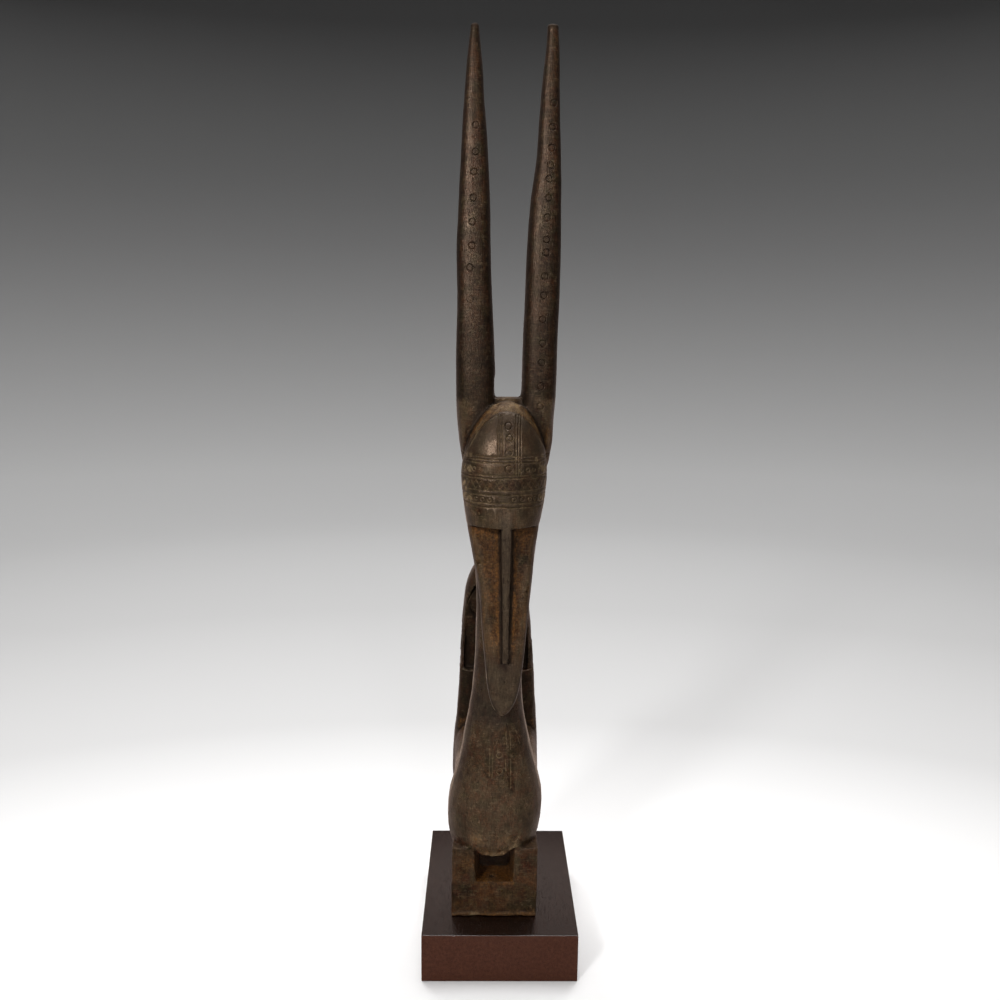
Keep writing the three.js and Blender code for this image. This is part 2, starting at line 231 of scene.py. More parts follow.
def crisp_edge_points(outer):
    points = []
    for edge in solid.edges:
        if len(edge.link_faces) != 2:
            continue
        angle = edge.calc_face_angle_signed()
        if abs(angle) < CRISP_ANGLE or (angle > 0) != outer:
            continue
        start, end = (vertex.co for vertex in edge.verts)
        steps = max(1, int((end - start).length / CRISP_SAMPLE))
        points += [start.lerp(end, step / steps) for step in range(steps + 1)]
    return points


outer_edges = tree_of(crisp_edge_points(outer=True))
inner_edges = tree_of(crisp_edge_points(outer=False))
print("crisp edges are ready")

# %% Soften the facets
FADE_FROM, FADE_TO = 0.8 * MM, 5.5 * MM
EDGES_KNOWN_TO = 20 * MM
SOFTENING_ROUNDS = 70
ROUNDING_ROUNDS = 3


def rise(values, low, high):
    """0 below low, 1 above high and an even S-curve between."""
    part = np.clip((values - low) / (high - low), 0, 1)
    return part * part * (3 - 2 * part)


def fall(values, low, high):
    """1 below low, 0 above high and an even S-curve between."""
    return 1 - rise(values, low, high)


def zone(values, low, high, blur):
    """1 between low and high, fading out over blur."""
    return rise(values, low - blur, low) * fall(values, high, high + blur)


def set_group(piece, name, weights):
    """A vertex group with a weight for each vertex, in steps of a tenth."""
    group = piece.vertex_groups.new(name=name)
    tenths = np.round(weights * 10).astype(int)
    for tenth in range(1, 11):
        group.add(np.flatnonzero(tenths == tenth).tolist(), tenth / 10, "REPLACE")


skin = vectors_of(carving.data, "co")
from_outer = distances(outer_edges, skin, EDGES_KNOWN_TO)
from_inner = distances(inner_edges, skin, EDGES_KNOWN_TO)
set_group(carving, "away from ledges", rise(np.minimum(from_outer, from_inner), FADE_FROM, FADE_TO))
for name, rounds, group in (("soften facets", SOFTENING_ROUNDS, "away from ledges"),
                            ("rub edges", ROUNDING_ROUNDS, "")):
    smooth = carving.modifiers.new(name, "SMOOTH")
    smooth.factor = 0.5
    smooth.iterations = rounds
    smooth.vertex_group = group
apply_modifiers(carving)
print("softening moved the skin by at most, in mm:",
      round(float(np.abs(vectors_of(carving.data, "co") - skin).max()) / MM, 2))

# %% [markdown]
# ## Tool marks
#
# After the adze had given the form, the carver went over it with short knife and adze strokes, and each left
# a shallow dish as wide as a finger. A texture could fake them with bump alone, but they bend the highlights
# and the outline of the real crest, so here they are in the shape: every point of the skin sinks by how far
# it lies from the middle of the stroke that it belongs to.


# %% Helpers for uneven surfaces
def lattice(size, seed):
    """Random numbers at the corners of cubes of this size, all over the object."""
    counts = np.ceil(np.subtract(CAD_BOX[1], CAD_BOX[0]) / size).astype(int) + 4
    return np.random.default_rng(seed).random(tuple(counts) + (3,))


def ripple(points, size, seed, stretch=(1, 1, 1)):
    """Soft random hills between -1 and 1, about as far apart as size, longer where stretch is over 1."""
    table = lattice(size, seed)[..., 0]
    place = (points - np.array(CAD_BOX[0])) / (size * np.array(stretch)) + 1
    cell = np.clip(np.floor(place).astype(int), 0, np.array(table.shape) - 2)
    part = np.clip(place - cell, 0, 1)
    part = part * part * (3 - 2 * part)
    total = np.zeros(len(points))
    for corner in np.ndindex(2, 2, 2):
        share = np.prod(np.where(np.array(corner) == 1, part, 1 - part), axis=1)
        total += share * table[tuple((cell + corner).T)]
    return 2 * total - 1


def stroke_dishes(points, across, along, seed):
    """0 in the middle of each knife stroke and 1 on the ridge between it and the next."""
    table = lattice(across, seed)
    place = (points - np.array(CAD_BOX[0])) / np.array((across, across, along)) + 1
    cell = np.clip(np.floor(place).astype(int), 1, np.array(table.shape[:3]) - 2)
    nearest = np.full(len(points), 9.0)
    for step in np.ndindex(3, 3, 3):
        other = cell + np.array(step) - 1
        offset = other + table[tuple(other.T)] - place
        nearest = np.minimum(nearest, (offset * offset).sum(axis=1))
    return np.minimum(nearest, 1)

# %% Knife and adze strokes
STROKE_ACROSS, STROKE_ALONG = 6.5 * MM, 13 * MM
STROKE_DEPTH_SMOOTH, STROKE_DEPTH_ROUGH = 0.22 * MM, 0.5 * MM
HAND_CUT_WAVE, HAND_CUT_WAVE_LENGTH = 0.3 * MM, 24 * MM
FLUTE_ACROSS, FLUTE_DEPTH, FLUTE_STRETCH = 7 * MM, 0.55 * MM, (1, 1, 12)
REAR_FROM, REAR_TOP, RUMP_FROM = (22, 34), (372, 384), (180, 194)
FOOT_ROUGHNESS, REAR_ROUGHNESS = 0.8, 0.6
MOST_SWELLING = 0.05 * MM

skin, outward = skin_and_normals()
side, back, up = in_shares(skin)
on_rear = rise(back, *REAR_FROM) * fall(up, *REAR_TOP)
on_rump = on_rear * rise(up, *RUMP_FROM) * fall(up, RUMP_LEDGE - 6, RUMP_LEDGE)
on_foot = fall(up, LEG_TOP, LEG_TOP + 12)
roughness_of_cut = np.clip(FOOT_ROUGHNESS * on_foot + REAR_ROUGHNESS * on_rear, 0, 1)
dish = 1 - stroke_dishes(skin, STROKE_ACROSS, STROKE_ALONG, seed=11)
depth = dish * (STROKE_DEPTH_SMOOTH + (STROKE_DEPTH_ROUGH - STROKE_DEPTH_SMOOTH) * roughness_of_cut)
depth += HAND_CUT_WAVE * ripple(skin, HAND_CUT_WAVE_LENGTH, seed=12)
flute = ripple(skin, FLUTE_ACROSS, seed=13, stretch=FLUTE_STRETCH)
depth += FLUTE_DEPTH * on_rump * np.abs(flute)
depth = np.maximum(depth, -MOST_SWELLING)
move_to(carving.data, skin - outward * depth[:, None])
print("deepest stroke in mm:", round(float(depth.max()) / MM, 2))

# %% [markdown]
# ## The step round the crown
#
# The dark dome of the forehead stands a little proud of a bare band that joins it to the horns, as if the
# carver had left the dome as a cap and cut back the wood round it. A colour alone would show the band, but
# the step gives it the thin line of shadow that the eye reads as an edge.

# %% The step round the crown
CROWN_STEP, CROWN_STEP_BLUR = 1.2 * MM, 1.6
DOME_MIDDLE, DOME_TOP_AT_MIDDLE, DOME_FALL = 1.5, 585, 0.0225
CROWN_HEIGHT, CROWN_REACH = 40, 46
CROWN_FRONT, CROWN_SADDLE = (-56, -50), (-11, 14)


def crown_edge(side):
    """How high the edge of the dome runs at this place, in shares."""
    return DOME_TOP_AT_MIDDLE - DOME_FALL * (side - DOME_MIDDLE) ** 2


def crown_band(side, back, up, blur=CROWN_STEP_BLUR):
    """1 on the bare band between the dome and the horns."""
    edge = crown_edge(side)
    on_head = np.maximum(fall(back, *CROWN_FRONT), zone(side, *CROWN_SADDLE, 3))
    band = zone(up, edge + blur, edge + CROWN_HEIGHT, blur)
    return band * zone(side, -CROWN_REACH, CROWN_REACH, 4) * on_head


skin, outward = skin_and_normals()
move_to(carving.data, skin - outward * CROWN_STEP * crown_band(*in_shares(skin))[:, None])
print("edge of the dome at its middle:", crown_edge(DOME_MIDDLE))

# %% [markdown]
# ## Knocks and wear
#
# Edges go first. Every dance, shelf and move takes a little off the corners and off the low rim of the
# chest, and dry wood splinters at the foot. The wear is strongest within a few millimetres of the outer
# edges found above, and random hills decide where it bites, so that one stretch stays sharp and the next is
# rounded or chipped.

# %% Worn and chipped edges
RIM_BAND, RIM_HEIGHTS, RIM_BEHIND = 8 * MM, (58, 135), -10
UNDERSIDE_NORMAL = -0.88
RUB_DEPTH, RUB_REACH = 0.35 * MM, 2.2 * MM
CHIP_DEPTH, CHIP_REACH, CHIP_LENGTH = 0.9 * MM, 3.2 * MM, 7 * MM
RIM_CHIP_DEPTH = 0.8 * MM
FOOT_CHIP_DEPTH, FOOT_CHIP_REACH, FOOT_CHIP_LENGTH = 1.6 * MM, 3 * MM, 8 * MM
FOOT_LIP, FOOT_LIP_WAVE, FOOT_FACE_DEPTH = 4.5, 1.5, 1.1 * MM
FOOT_FACE_TOP, TIPS_SPARED = (36, 52), (940, 980)


def chest_rim_at(points, normals):
    """1 on the low rim of the chest, a narrow band round its underside."""
    _, back, up = in_shares(points)
    near = (up > RIM_HEIGHTS[0]) & (up < RIM_HEIGHTS[1]) & (back < RIM_BEHIND)
    underside = tree_of(points[near & (normals[:, 2] < UNDERSIDE_NORMAL)])
    rim = np.zeros(len(points))
    rim[near] = fall(distances(underside, points[near], 2 * RIM_BAND), 0.5 * RIM_BAND, RIM_BAND)
    return rim * rise(-normals[:, 1], 0.1, 0.3)


def close_to(distance, reach):
    """1 at a distance of nothing, down to 0 at the reach."""
    return np.clip(1 - distance / reach, 0, 1)


def bites(points, length, seed, low, high):
    """Random places where the wear bites, about as far apart as length."""
    return rise(ripple(points, length, seed=seed), low, high)


skin, outward = skin_and_normals()
side, back, up = in_shares(skin)
rub = close_to(from_outer, RUB_REACH) * fall(up, *TIPS_SPARED)
chip = close_to(from_outer, CHIP_REACH) * bites(skin, CHIP_LENGTH, 21, 0.25, 0.6)
at_foot_edge = fall(up, 3, 9) * close_to(from_outer, FOOT_CHIP_REACH)
foot_chip = at_foot_edge * bites(skin, FOOT_CHIP_LENGTH, 22, -0.2, 0.7)
wear = RUB_DEPTH * rub * (0.6 + 0.4 * ripple(skin, CHIP_LENGTH, seed=23))
wear += CHIP_DEPTH * chip + FOOT_CHIP_DEPTH * foot_chip
wear += RIM_CHIP_DEPTH * chest_rim_at(skin, outward) * bites(skin, CHIP_LENGTH, 25, -0.1, 0.4)
lip = FOOT_LIP + FOOT_LIP_WAVE * ripple(skin, CHIP_LENGTH, seed=24)
foot_front = np.clip(-outward[:, 1], 0, 1) * fall(back, -SLAB_HALF_LENGTH + 3, -SLAB_HALF_LENGTH + 6)
wear += FOOT_FACE_DEPTH * foot_front * rise(up, lip - 1, lip + 1) * fall(up, *FOOT_FACE_TOP)
skin -= outward * wear[:, None]
skin[:, 2] = np.maximum(skin[:, 2], carving_low.z)
move_to(carving.data, skin)
print("deepest wear in mm:", round(float(wear.max()) / MM, 2))

# %% [markdown]
# ## Engraved ornament
#
# The carver scratched rings, lines and zigzags into the finished form with a hot point or an awl. Each
# stroke is kept as a row of close points on the skin. Rays find them: from the front for the horns, the
# crown and the chest, and level towards the middle of the head for the bands that run round it. A picture
# of the ornament laid over the form would be simpler, but it would stretch where the form turns away.

# %% Rays that find the skin
STROKE_POINT_GAP = 0.25 * MM
RAY_START, LOW_CHEST_RAY, HIGH_CHEST_RAY = -160, -96, -74
HEAD_MIDDLE = (0.0, -52.0)
HEAD_RADIUS, OUTSIDE_HEAD = 47.0, 100
RING_CORNERS = 16


def cast(start, aim):
    """The first place of the skin on the way from one point to another, both in shares of the height."""
    origin, target = in_metres(start), in_metres(aim)
    hit, place, _, _ = carving.ray_cast(origin, (target - origin).normalized())
    return place if hit else None


def from_front(side, up, start=RAY_START):
    across = side + LEAN * up
    return cast((across, start, up), (across, 0, up))


def on_chest(side, up):
    """The same from just in front of the chest, so that the muzzle above isn't hit."""
    return from_front(side, up, start=LOW_CHEST_RAY if up < CHIN else HIGH_CHEST_RAY)


def round_head(along, up):
    """A place on the head, as far round from its front line as along says, in shares."""
    turn = along / HEAD_RADIUS
    middle_side, middle_back = HEAD_MIDDLE[0] + LEAN * up, HEAD_MIDDLE[1]
    outside = (middle_side + OUTSIDE_HEAD * math.sin(turn), middle_back - OUTSIDE_HEAD * math.cos(turn), up)
    return cast(outside, (middle_side, middle_back, up))


stroke_points, stroke_depths = [], []


def engrave(face, corners, depth=1.0):
    """Keeps a stroke through these corners. Each is two numbers that face turns into a place on the skin."""
    for start, end in zip(corners, corners[1:]):
        length = math.dist(start, end) * SHARE
        steps = max(1, math.ceil(length / STROKE_POINT_GAP))
        for step in range(steps + 1):
            place = face(*(first + (last - first) * step / steps for first, last in zip(start, end)))
            if place:
                stroke_points.append(place)
                stroke_depths.append(depth)


def engrave_ring(face, across, up, radius, depth=1.0):
    turns = [2 * math.pi * step / RING_CORNERS for step in range(RING_CORNERS + 1)]
    engrave(face, [(across + radius * math.cos(turn), up + radius * math.sin(turn)) for turn in turns], depth)


print("middle of the head from the axis:", HEAD_MIDDLE)

# %% Rings on the horns and the crown
HORN_RING = 3.6
FAINT = 0.4
LEFT_HORN_RINGS = (
    (-38.8, 890.4), (-38.7, 861.7), (-39.9, 840.4), (-39.9, 812.7), (-40.4, 787.2), (-40.4, 761.6),
    (-42.1, 738.1), (-41.4, 704))
RIGHT_HORN_RINGS = (
    (45, 915.1), (44.5, 889.5), (43.9, 867.2), (43.2, 849), (41.9, 834.1), (41.8, 813.9), (40.7, 792.5),
    (40.6, 769.1), (40.4, 755.2), (39.3, 729.6), (38.7, 709.3), (38.2, 683.6), (38.8, 658), (38.2, 637.6),
    (37.7, 611.8), (38.3, 590.2))
CROWN_RINGS = ((2.8, 571.1, 1.5), (4.7, 558.8, 1.0), (3.7, 542.9, 0.6), (4.1, 526.4, 1.0))

for place in LEFT_HORN_RINGS[:-1] + RIGHT_HORN_RINGS:
    engrave_ring(from_front, *place, HORN_RING)
engrave_ring(from_front, *LEFT_HORN_RINGS[-1], HORN_RING, depth=FAINT)
for across, up, depth in CROWN_RINGS:
    engrave_ring(from_front, across, up, HORN_RING, depth)
print("stroke points for the rings:", len(stroke_points))

# %% Bands round the forehead
CROWN_STRIPES = ((-8.3, -7.6), (-5.7, -4.9), (-3.6, -2.3), (10.5, 11.5), (13.4, 14.2), (16.2, 16.8))
STRIPES_TOP, STRIPES_TURN, STRIPES_FOOT_LEFT, STRIPES_FOOT_RIGHT = 582, 567, 539, 519
STRIPES_SPREAD = 1.05
BAND_LINES = (538.8, 535.7, 532.6, 519.1, 516, 503.4, 498.6, 489.9, 485.4)
BAND_REACH, BAND_PIECE = 88, 12
BAND_TILT, BAND_DEPTHS = 0.5, (0.55, 1.0)
UPPER_ROW, LOWER_ROW, ZIGZAG_ROW = 525.5, 494.2, 509.8
UPPER_RINGS = (-66, -57, -49, -40, 20.5, 29, 37, 50, 59, 68)
LOWER_RINGS = (-62, -54, -45, -34.5, -26, -17.5, 11.2, 21, 30.5, 38.5, 48, 57)
BAND_RING, BAND_RING_DEPTH = 2.3, 0.8
ZIGZAG_STEP, ZIGZAG_HEIGHT = 7.5, 4.8
WORN_FROM, WORN_TO, WORN_DEPTH = -29, 23, 0.15
DOTS = ((-34, 482.2), (-30, 478.2), (-27, 474.2))
wander = np.random.default_rng(31)

for above, below in CROWN_STRIPES:
    foot = STRIPES_FOOT_LEFT if above < 0 else STRIPES_FOOT_RIGHT
    engrave(from_front, [(above * STRIPES_SPREAD, STRIPES_TOP), (above, STRIPES_TURN), (below, foot)])
for up in BAND_LINES:
    for start in range(-BAND_REACH, BAND_REACH, BAND_PIECE):
        tilt = wander.uniform(-BAND_TILT, BAND_TILT, 2)
        engrave(round_head, [(start - 1, up + tilt[0]), (start + BAND_PIECE, up + tilt[1])],
                depth=wander.uniform(*BAND_DEPTHS))
for row, places in ((UPPER_ROW, UPPER_RINGS), (LOWER_ROW, LOWER_RINGS)):
    for along in places:
        engrave_ring(round_head, along, row, BAND_RING, depth=BAND_RING_DEPTH)
for start in np.arange(-BAND_REACH, BAND_REACH, ZIGZAG_STEP):
    depth = WORN_DEPTH if WORN_FROM < start < WORN_TO else FAINT
    for hand in (-1, 1):
        engrave(round_head, [(start, ZIGZAG_ROW - hand * ZIGZAG_HEIGHT),
                             (start + ZIGZAG_STEP, ZIGZAG_ROW + hand * ZIGZAG_HEIGHT)], depth)
for along, up in DOTS:
    engrave_ring(round_head, along, up, BAND_RING / 2, depth=FAINT)
print("stroke points with the bands:", len(stroke_points))

# %% Lines on the chest, beside the nose bar and on the young animal
BAR_SIDES = ((BROW - 2, 3, 6.6), (386, 4.3, 5.3), (341, 4.9, 4.4), (312, 5.4, 4.2))
BAR_SIDE_DEPTH = 1.6
CHEST_LINES = (((-8.9, 204), (-9.2, 174)), ((-5.5, 204), (-5.6, 172)), ((8.6, 224), (9.8, 205)),
               ((12.9, 224), (14.6, 203)), ((14.5, 192), (15.6, 160)), ((8.8, 192), (9.4, 180)),
               ((20, 222), (25, 207)))
CHEST_LINE_DEPTH = 0.5
CHEST_RINGS, CHEST_RING, CHEST_RING_DEPTH = ((1.6, 197.6), (2.4, 179.6)), HORN_RING * 0.9, 0.6
REAR_RING = (-38.6, 352.7)
REAR_LINES = (((-31.8, 356.2), (-36.5, 349), (-39.9, 338.9)), ((36.5, 312), (36, 304)),
              ((39.5, 297), (37.5, 293), (40, 289), (37.5, 285)))

for hand in (-1, 1):
    engrave(from_front, [(bar + hand * half, up) for up, bar, half in BAR_SIDES], BAR_SIDE_DEPTH)
for corners in CHEST_LINES:
    engrave(on_chest, corners, CHEST_LINE_DEPTH)
for across, up in CHEST_RINGS:
    engrave_ring(on_chest, across, up, CHEST_RING, CHEST_RING_DEPTH)
engrave_ring(from_front, *REAR_RING, BAND_RING)
for corners in REAR_LINES:
    engrave(from_front, corners)
print("stroke points in all:", len(stroke_points))

# %% [markdown]
# ## Cut the ornament in
#
# The squares of the even skin are wider than a scratch, so those near a stroke are split into smaller ones
# first, and evened out so that no stair of the old squares shows. Each point near a stroke then sinks as
# if a round awl had passed: deepest in the middle, nothing at its shores. The small hole in the notch looks
# like that of a nail.

# %% Cut the strokes into the skin
STROKE_HALF_WIDTH, STROKE_DEPTH = 0.55 * MM, 0.5 * MM
FINER_WITHIN, FINER_CUTS = 1.3 * MM, 2
EVEN_ROUNDS, HORN_EVEN_ROUNDS = 5, 14
NAIL_HOLE, NAIL_RADIUS, NAIL_DEPTH = (-3.1, -65.5), 2.4 * MM, 3.5 * MM

strokes = tree_of(stroke_points)
nail_place = in_metres((NAIL_HOLE[0] + LEAN * SLAB_TOP, NAIL_HOLE[1], SLAB_TOP))


def needs_finer_squares(place):
    near_nail = (place - nail_place).length < 2 * NAIL_RADIUS
    return near_nail or strokes.find(place)[2] < FINER_WITHIN


def nearest_strokes(points):
    """How far each point is from the nearest stroke, and how deep that stroke is."""
    found = [strokes.find(place) for place in points]
    gaps = np.array([distance for _, _, distance in found])
    return gaps, np.array(stroke_depths)[[index for _, index, _ in found]]


def even_out(points, rounds):
    """Slides the points towards the middle of their neighbours, so many times."""
    for _ in range(rounds):
        bmesh.ops.smooth_vert(work, verts=points, factor=0.5,
                              use_axis_x=True, use_axis_y=True, use_axis_z=True)


work = bmesh.new()
work.from_mesh(carving.data)
horn_foot_z = SLAB_MIDDLE[2] + HORNS_FROM * SHARE
even_out([point for point in work.verts if point.co.z > horn_foot_z], HORN_EVEN_ROUNDS)
finer = {edge for face in work.faces if needs_finer_squares(face.calc_center_median())
         for edge in face.edges}
bmesh.ops.subdivide_edges(work, edges=list(finer), cuts=FINER_CUTS, use_grid_fill=True)
even_out([point for point in work.verts if strokes.find(point.co)[2] < FINER_WITHIN], EVEN_ROUNDS)
work.to_mesh(carving.data)
work.free()

skin, outward = skin_and_normals()
gap, depth = nearest_strokes(skin)
cut = STROKE_DEPTH * depth * np.clip(1 - (gap / STROKE_HALF_WIDTH) ** 2, 0, 1)
from_nail = np.linalg.norm((skin - np.array(nail_place))[:, :2], axis=1)
in_nail_hole = (from_nail < NAIL_RADIUS) & (np.abs(skin[:, 2] - nail_place.z) < 2 * MM)
skin -= outward * cut[:, None]
skin[in_nail_hole, 2] -= NAIL_DEPTH * np.sqrt(1 - (from_nail[in_nail_hole] / NAIL_RADIUS) ** 2)
move_to(carving.data, skin)
print("faces after refining:", len(carving.data.polygons))

# %% [markdown]
# ## Fewer triangles
#
# The even skin has far more small squares than the calm parts need. Collapsing its shortest and flattest
# edges first leaves the triangles where the carving is busy, and the piece stays light enough to share. A
# weight tells the tool where it may take most: all round the back, little on what is turned to the front,
# and nothing at the small rings of the horns, which would lose their roundness.

# %% Lighten the mesh
MOST_TRIANGLES = 192000
BACK_WEIGHT, FRONT_WEIGHT, RING_WEIGHT = 1.0, 0.05, 0.0
WEIGHT_STRENGTH = 5e-8
RING_KEPT = 1.1 * MM
LEAST_FACING = 0.02


def triangles_in(mesh):
    return sum(len(face.vertices) - 2 for face in mesh.polygons)


def turned_to_front(mesh):
    return -vectors_of(mesh, "normal")[:, 1] > LEAST_FACING


before = triangles_in(carving.data)
calm = carving.vertex_groups.new(name="calm")
in_view = turned_to_front(carving.data)
at_ring = (gap < RING_KEPT) & (in_shares(skin)[2] > HORNS_FROM)
for chosen, weight in ((in_view, FRONT_WEIGHT), (~in_view, BACK_WEIGHT), (at_ring, RING_WEIGHT)):
    calm.add(np.flatnonzero(chosen).tolist(), weight, "REPLACE")
lighten = carving.modifiers.new("lighten", "DECIMATE")
lighten.ratio = MOST_TRIANGLES / before
lighten.use_collapse_triangulate = True
lighten.vertex_group = calm.name
lighten.vertex_group_factor = WEIGHT_STRENGTH
apply_modifiers(carving)
shade_smooth(carving)
carving.vertex_groups.clear()
print("triangles before and after:", before, triangles_in(carving.data))
print("share of the points turned to the front:", round(float(turned_to_front(carving.data).mean()), 2))

# %% [markdown]
# ## The plinth
#
# The display block is a plain slab of hardwood, sawn, sanded and lacquered. A cube with a narrow rounded
# arris is all that it is, and the arris matters: it catches a thin line of light along the front edge.

# %% Plinth
ARRIS = 0.8 * MM
ARRIS_STEPS = 4
ARRIS_SHARP = math.radians(30)

low, high = (Vector(corner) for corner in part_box("plinth"))
block = bmesh.new()
bmesh.ops.create_cube(block, size=1)
bmesh.ops.scale(block, vec=high - low, verts=block.verts)
bmesh.ops.translate(block, vec=(low + high) / 2, verts=block.verts)
bmesh.ops.bevel(block, geom=block.edges[:], offset=ARRIS, offset_type="OFFSET", affect="EDGES",
                segments=ARRIS_STEPS, profile=0.5, material=-1)
plinth_mesh = bpy.data.meshes.new("display_block")
block.to_mesh(plinth_mesh)
block.free()
plinth = add_object("display_block", plinth_mesh)
shade_smooth(plinth)
plinth.data.set_sharp_from_angle(angle=ARRIS_SHARP)
print("plinth in mm:", [round(value / MM, 1) for value in high - low])

# %% [markdown]
# ## Where the patina is thick, thin or rubbed, and where light and shade are painted
#
# A patina isn't one colour. Smoke and oil build up black in the creases, hands polish whatever stands
# proud, and where the skin was cut or knocked later the ochre of the bare wood shows. Seven layers are
# painted on the points of the mesh as numbers from 0 to 1: one for bare wood and one for the lightest of
# it, three for wear on rubbed, scratched and handled places, one for soot and dirt, and one for the grey
# film on the nose. The same layers also carry painted light and shade: light in the shade under the brow,
# highlights and glints along edges and on the chest, neck, crown and lip of the foot, and shade on sides,
# tops and recesses. They are worked out from the shape itself: how far a point stands above the averaged
# surface round it, where the strokes run, and which part of the crest it lies on. A painted picture would do
# as well, but it would have to be drawn again after each change to the form.

# %% Proud and sunken places
NARROW_ROUNDS, BROAD_ROUNDS = 4, 30


def averaged(mesh, values, rounds):
    """The values after so many rounds of taking the mean of each point's neighbours."""
    ends = np.empty(2 * len(mesh.edges), np.int32)
    mesh.edges.foreach_get("vertices", ends)
    first, second = ends.reshape(-1, 2).T
    count = np.bincount(ends, minlength=len(values))[:, None]
    for _ in range(rounds):
        total = np.stack([np.bincount(first, column[second], len(values)) +
                          np.bincount(second, column[first], len(values)) for column in values.T], axis=1)
        values = (values + total / count) / 2
    return values


skin, outward = skin_and_normals()
side, back, up = in_shares(skin)
narrow = averaged(carving.data, skin, NARROW_ROUNDS)
broad = averaged(carving.data, narrow, BROAD_ROUNDS)
stands_out = ((skin - broad) * outward).sum(axis=1) / MM
print("sunken and proud places in mm:", np.round(np.percentile(stands_out, (2, 50, 98)), 2))

# %% Random hills, and how near each point is to a stroke
PATCH, SPECK, HORN_STREAK, STREAK = 14 * MM, 4 * MM, 3.4 * MM, 2.6 * MM
ALONG_THE_GRAIN = (1, 1, 9)
IN_STROKE, IN_RING, RING_SLOPE = 1.15, 1.6, 1.5
STROKE_SHORES = (1.1, 1.6)
BESIDE_FINE_STROKES = (4, 7)
HORNS_EVENED = 0.85

facing_front = np.clip(-outward[:, 1], 0, 1)
patches = ripple(skin, PATCH, seed=41)
specks = ripple(skin, SPECK, seed=42)
horn_streaks = ripple(skin, HORN_STREAK, seed=44, stretch=ALONG_THE_GRAIN)
streaks = ripple(skin, STREAK, seed=43, stretch=ALONG_THE_GRAIN)

on_horns = zone(up, HORNS_FROM, HORN_TIPS, 4)
from_stroke, cut_depth = nearest_strokes(skin)
from_stroke, cut_depth = from_stroke / STROKE_HALF_WIDTH, np.clip(cut_depth, 0, 1)
in_stroke = np.clip(IN_STROKE - from_stroke, 0, 1) * cut_depth
in_ring = np.clip(IN_RING - RING_SLOPE * from_stroke, 0, 1) * cut_depth
# Painted shade on the walls beside the strokes, kept off the horns.
beside_stroke = zone(from_stroke, *STROKE_SHORES, 0.3) * cut_depth * fall(up, HORNS_FROM - 10, HORNS_FROM)
finely_cut = np.maximum(on_horns, fall(up, CHIN, CHIN + 10))
by_fine_strokes = fall(from_stroke, *BESIDE_FINE_STROKES) * finely_cut
stands_out = stands_out * (1 - by_fine_strokes) * (1 - HORNS_EVENED * on_horns)
print("share of the points in a stroke:", round(float((in_stroke > 0).mean()), 3))

# %% Parts of the head
HEAD_FRONT = (-60, -50)
BAR_HEIGHTS, BAR_MIDDLES, BAR_HALVES = (BAR_FOOT, 341, 386, BROW), (5.4, 4.9, 4.3, 3), (3.9, 4, 4.9, 6.2)
DOME_FROM, DOME_TO = 478, 580
CROWN_TOP, CROWN_SIDES = 17, (548, 566)
GLINT_MIDDLE, GLINT_WIDTH = 2, 10

in_front = fall(back, *HEAD_FRONT)
on_face = in_front * zone(up, CHIN, BROW - 2, 3)
from_bar = np.abs(side - np.interp(up, BAR_HEIGHTS, BAR_MIDDLES)) - np.interp(up, BAR_HEIGHTS, BAR_HALVES)
cheeks = on_face * rise(up, BAR_FOOT - 5, BAR_FOOT + 22)
cheeks = cheeks * rise(from_bar, 0.3, 1.5) * rise(facing_front, 0.1, 0.4)
beside_bar = cheeks * zone(from_bar, 3.2, 5.2, 1.4)
bar_groove = on_face * rise(up, BAR_FOOT - 5, BAR_FOOT) * zone(from_bar, -0.2, 2.2, 0.8)
# Painted light: the top of the cheeks under the brow is kept light, against the shade of the brow ledge.
under_brow = cheeks * rise(up, BROW - 26, BROW - 6)
bar = in_front * rise(up, BAR_FOOT - 6, BAR_FOOT) * fall(up, BROW + 2, BROW + 26)
bar = bar * fall(from_bar, -0.6, 0.4)
muzzle = in_front * fall(up, BAR_FOOT - 8, BAR_FOOT + 17) * rise(up, CHIN, CHIN + 10)
dome = in_front * zone(up, DOME_FROM, DOME_TO, 10) * rise(facing_front, 0.3, 0.7)
# Painted shade on the right of the forehead.
dome_right = in_front * zone(up, 440, DOME_TO, 16) * rise(side, 10, 36)

dome_top = crown_edge(side)
# A band under the crown's edge that is painted darker.
under_crown = zone(up, dome_top - 16, dome_top + 1, 12) * in_front
crown = crown_band(side, back, up) * fall(up, dome_top + CROWN_TOP - 5, dome_top + CROWN_TOP)
crown = crown * rise(up, *CROWN_SIDES)
crown_right = crown * rise(side, 12, 26)
crown_glint = crown * np.exp(-((side - GLINT_MIDDLE) / GLINT_WIDTH) ** 2) * (0.5 + 0.6 * specks)
# Painted shade on the saddle behind the crown band and on the hump between the horns.
behind_crown = zone(up, dome_top + CROWN_TOP, 640, 3) * zone(side, -30, 30, 4) * (1 - on_horns)
bridge_top = zone(up, 596, 606, 5) * zone(side, -24, 27, 3)
horn_root = zone(up, 520, 562, 10) * rise(side, 38, 44) * rise(back, -60, -40)
# The horns are painted darker towards their feet.
horn_foot = on_horns * fall(up, HORNS_FROM, 840)
# Painted shade on the sides of the horns, which turn away from the front.
horn_sides = on_horns * fall(facing_front, 0.5, 0.97) * rise(-outward[:, 1], -0.3, 0.1)
# Painted shade on the tops of the horn tips.
tip_tops = zone(up, HORN_TIPS - 10, HORN_TIPS + 10, 4) * rise(outward[:, 2], 0.3, 0.7)
print("points on the crown:", int((crown > 0.5).sum()))

# %% Edges that catch the light
EDGE_REACH = 8 * MM
FACE_EDGE, FACE_FRONT = (1.7, 2.4), (1.5, 3)
NAPE = (-4, 4)


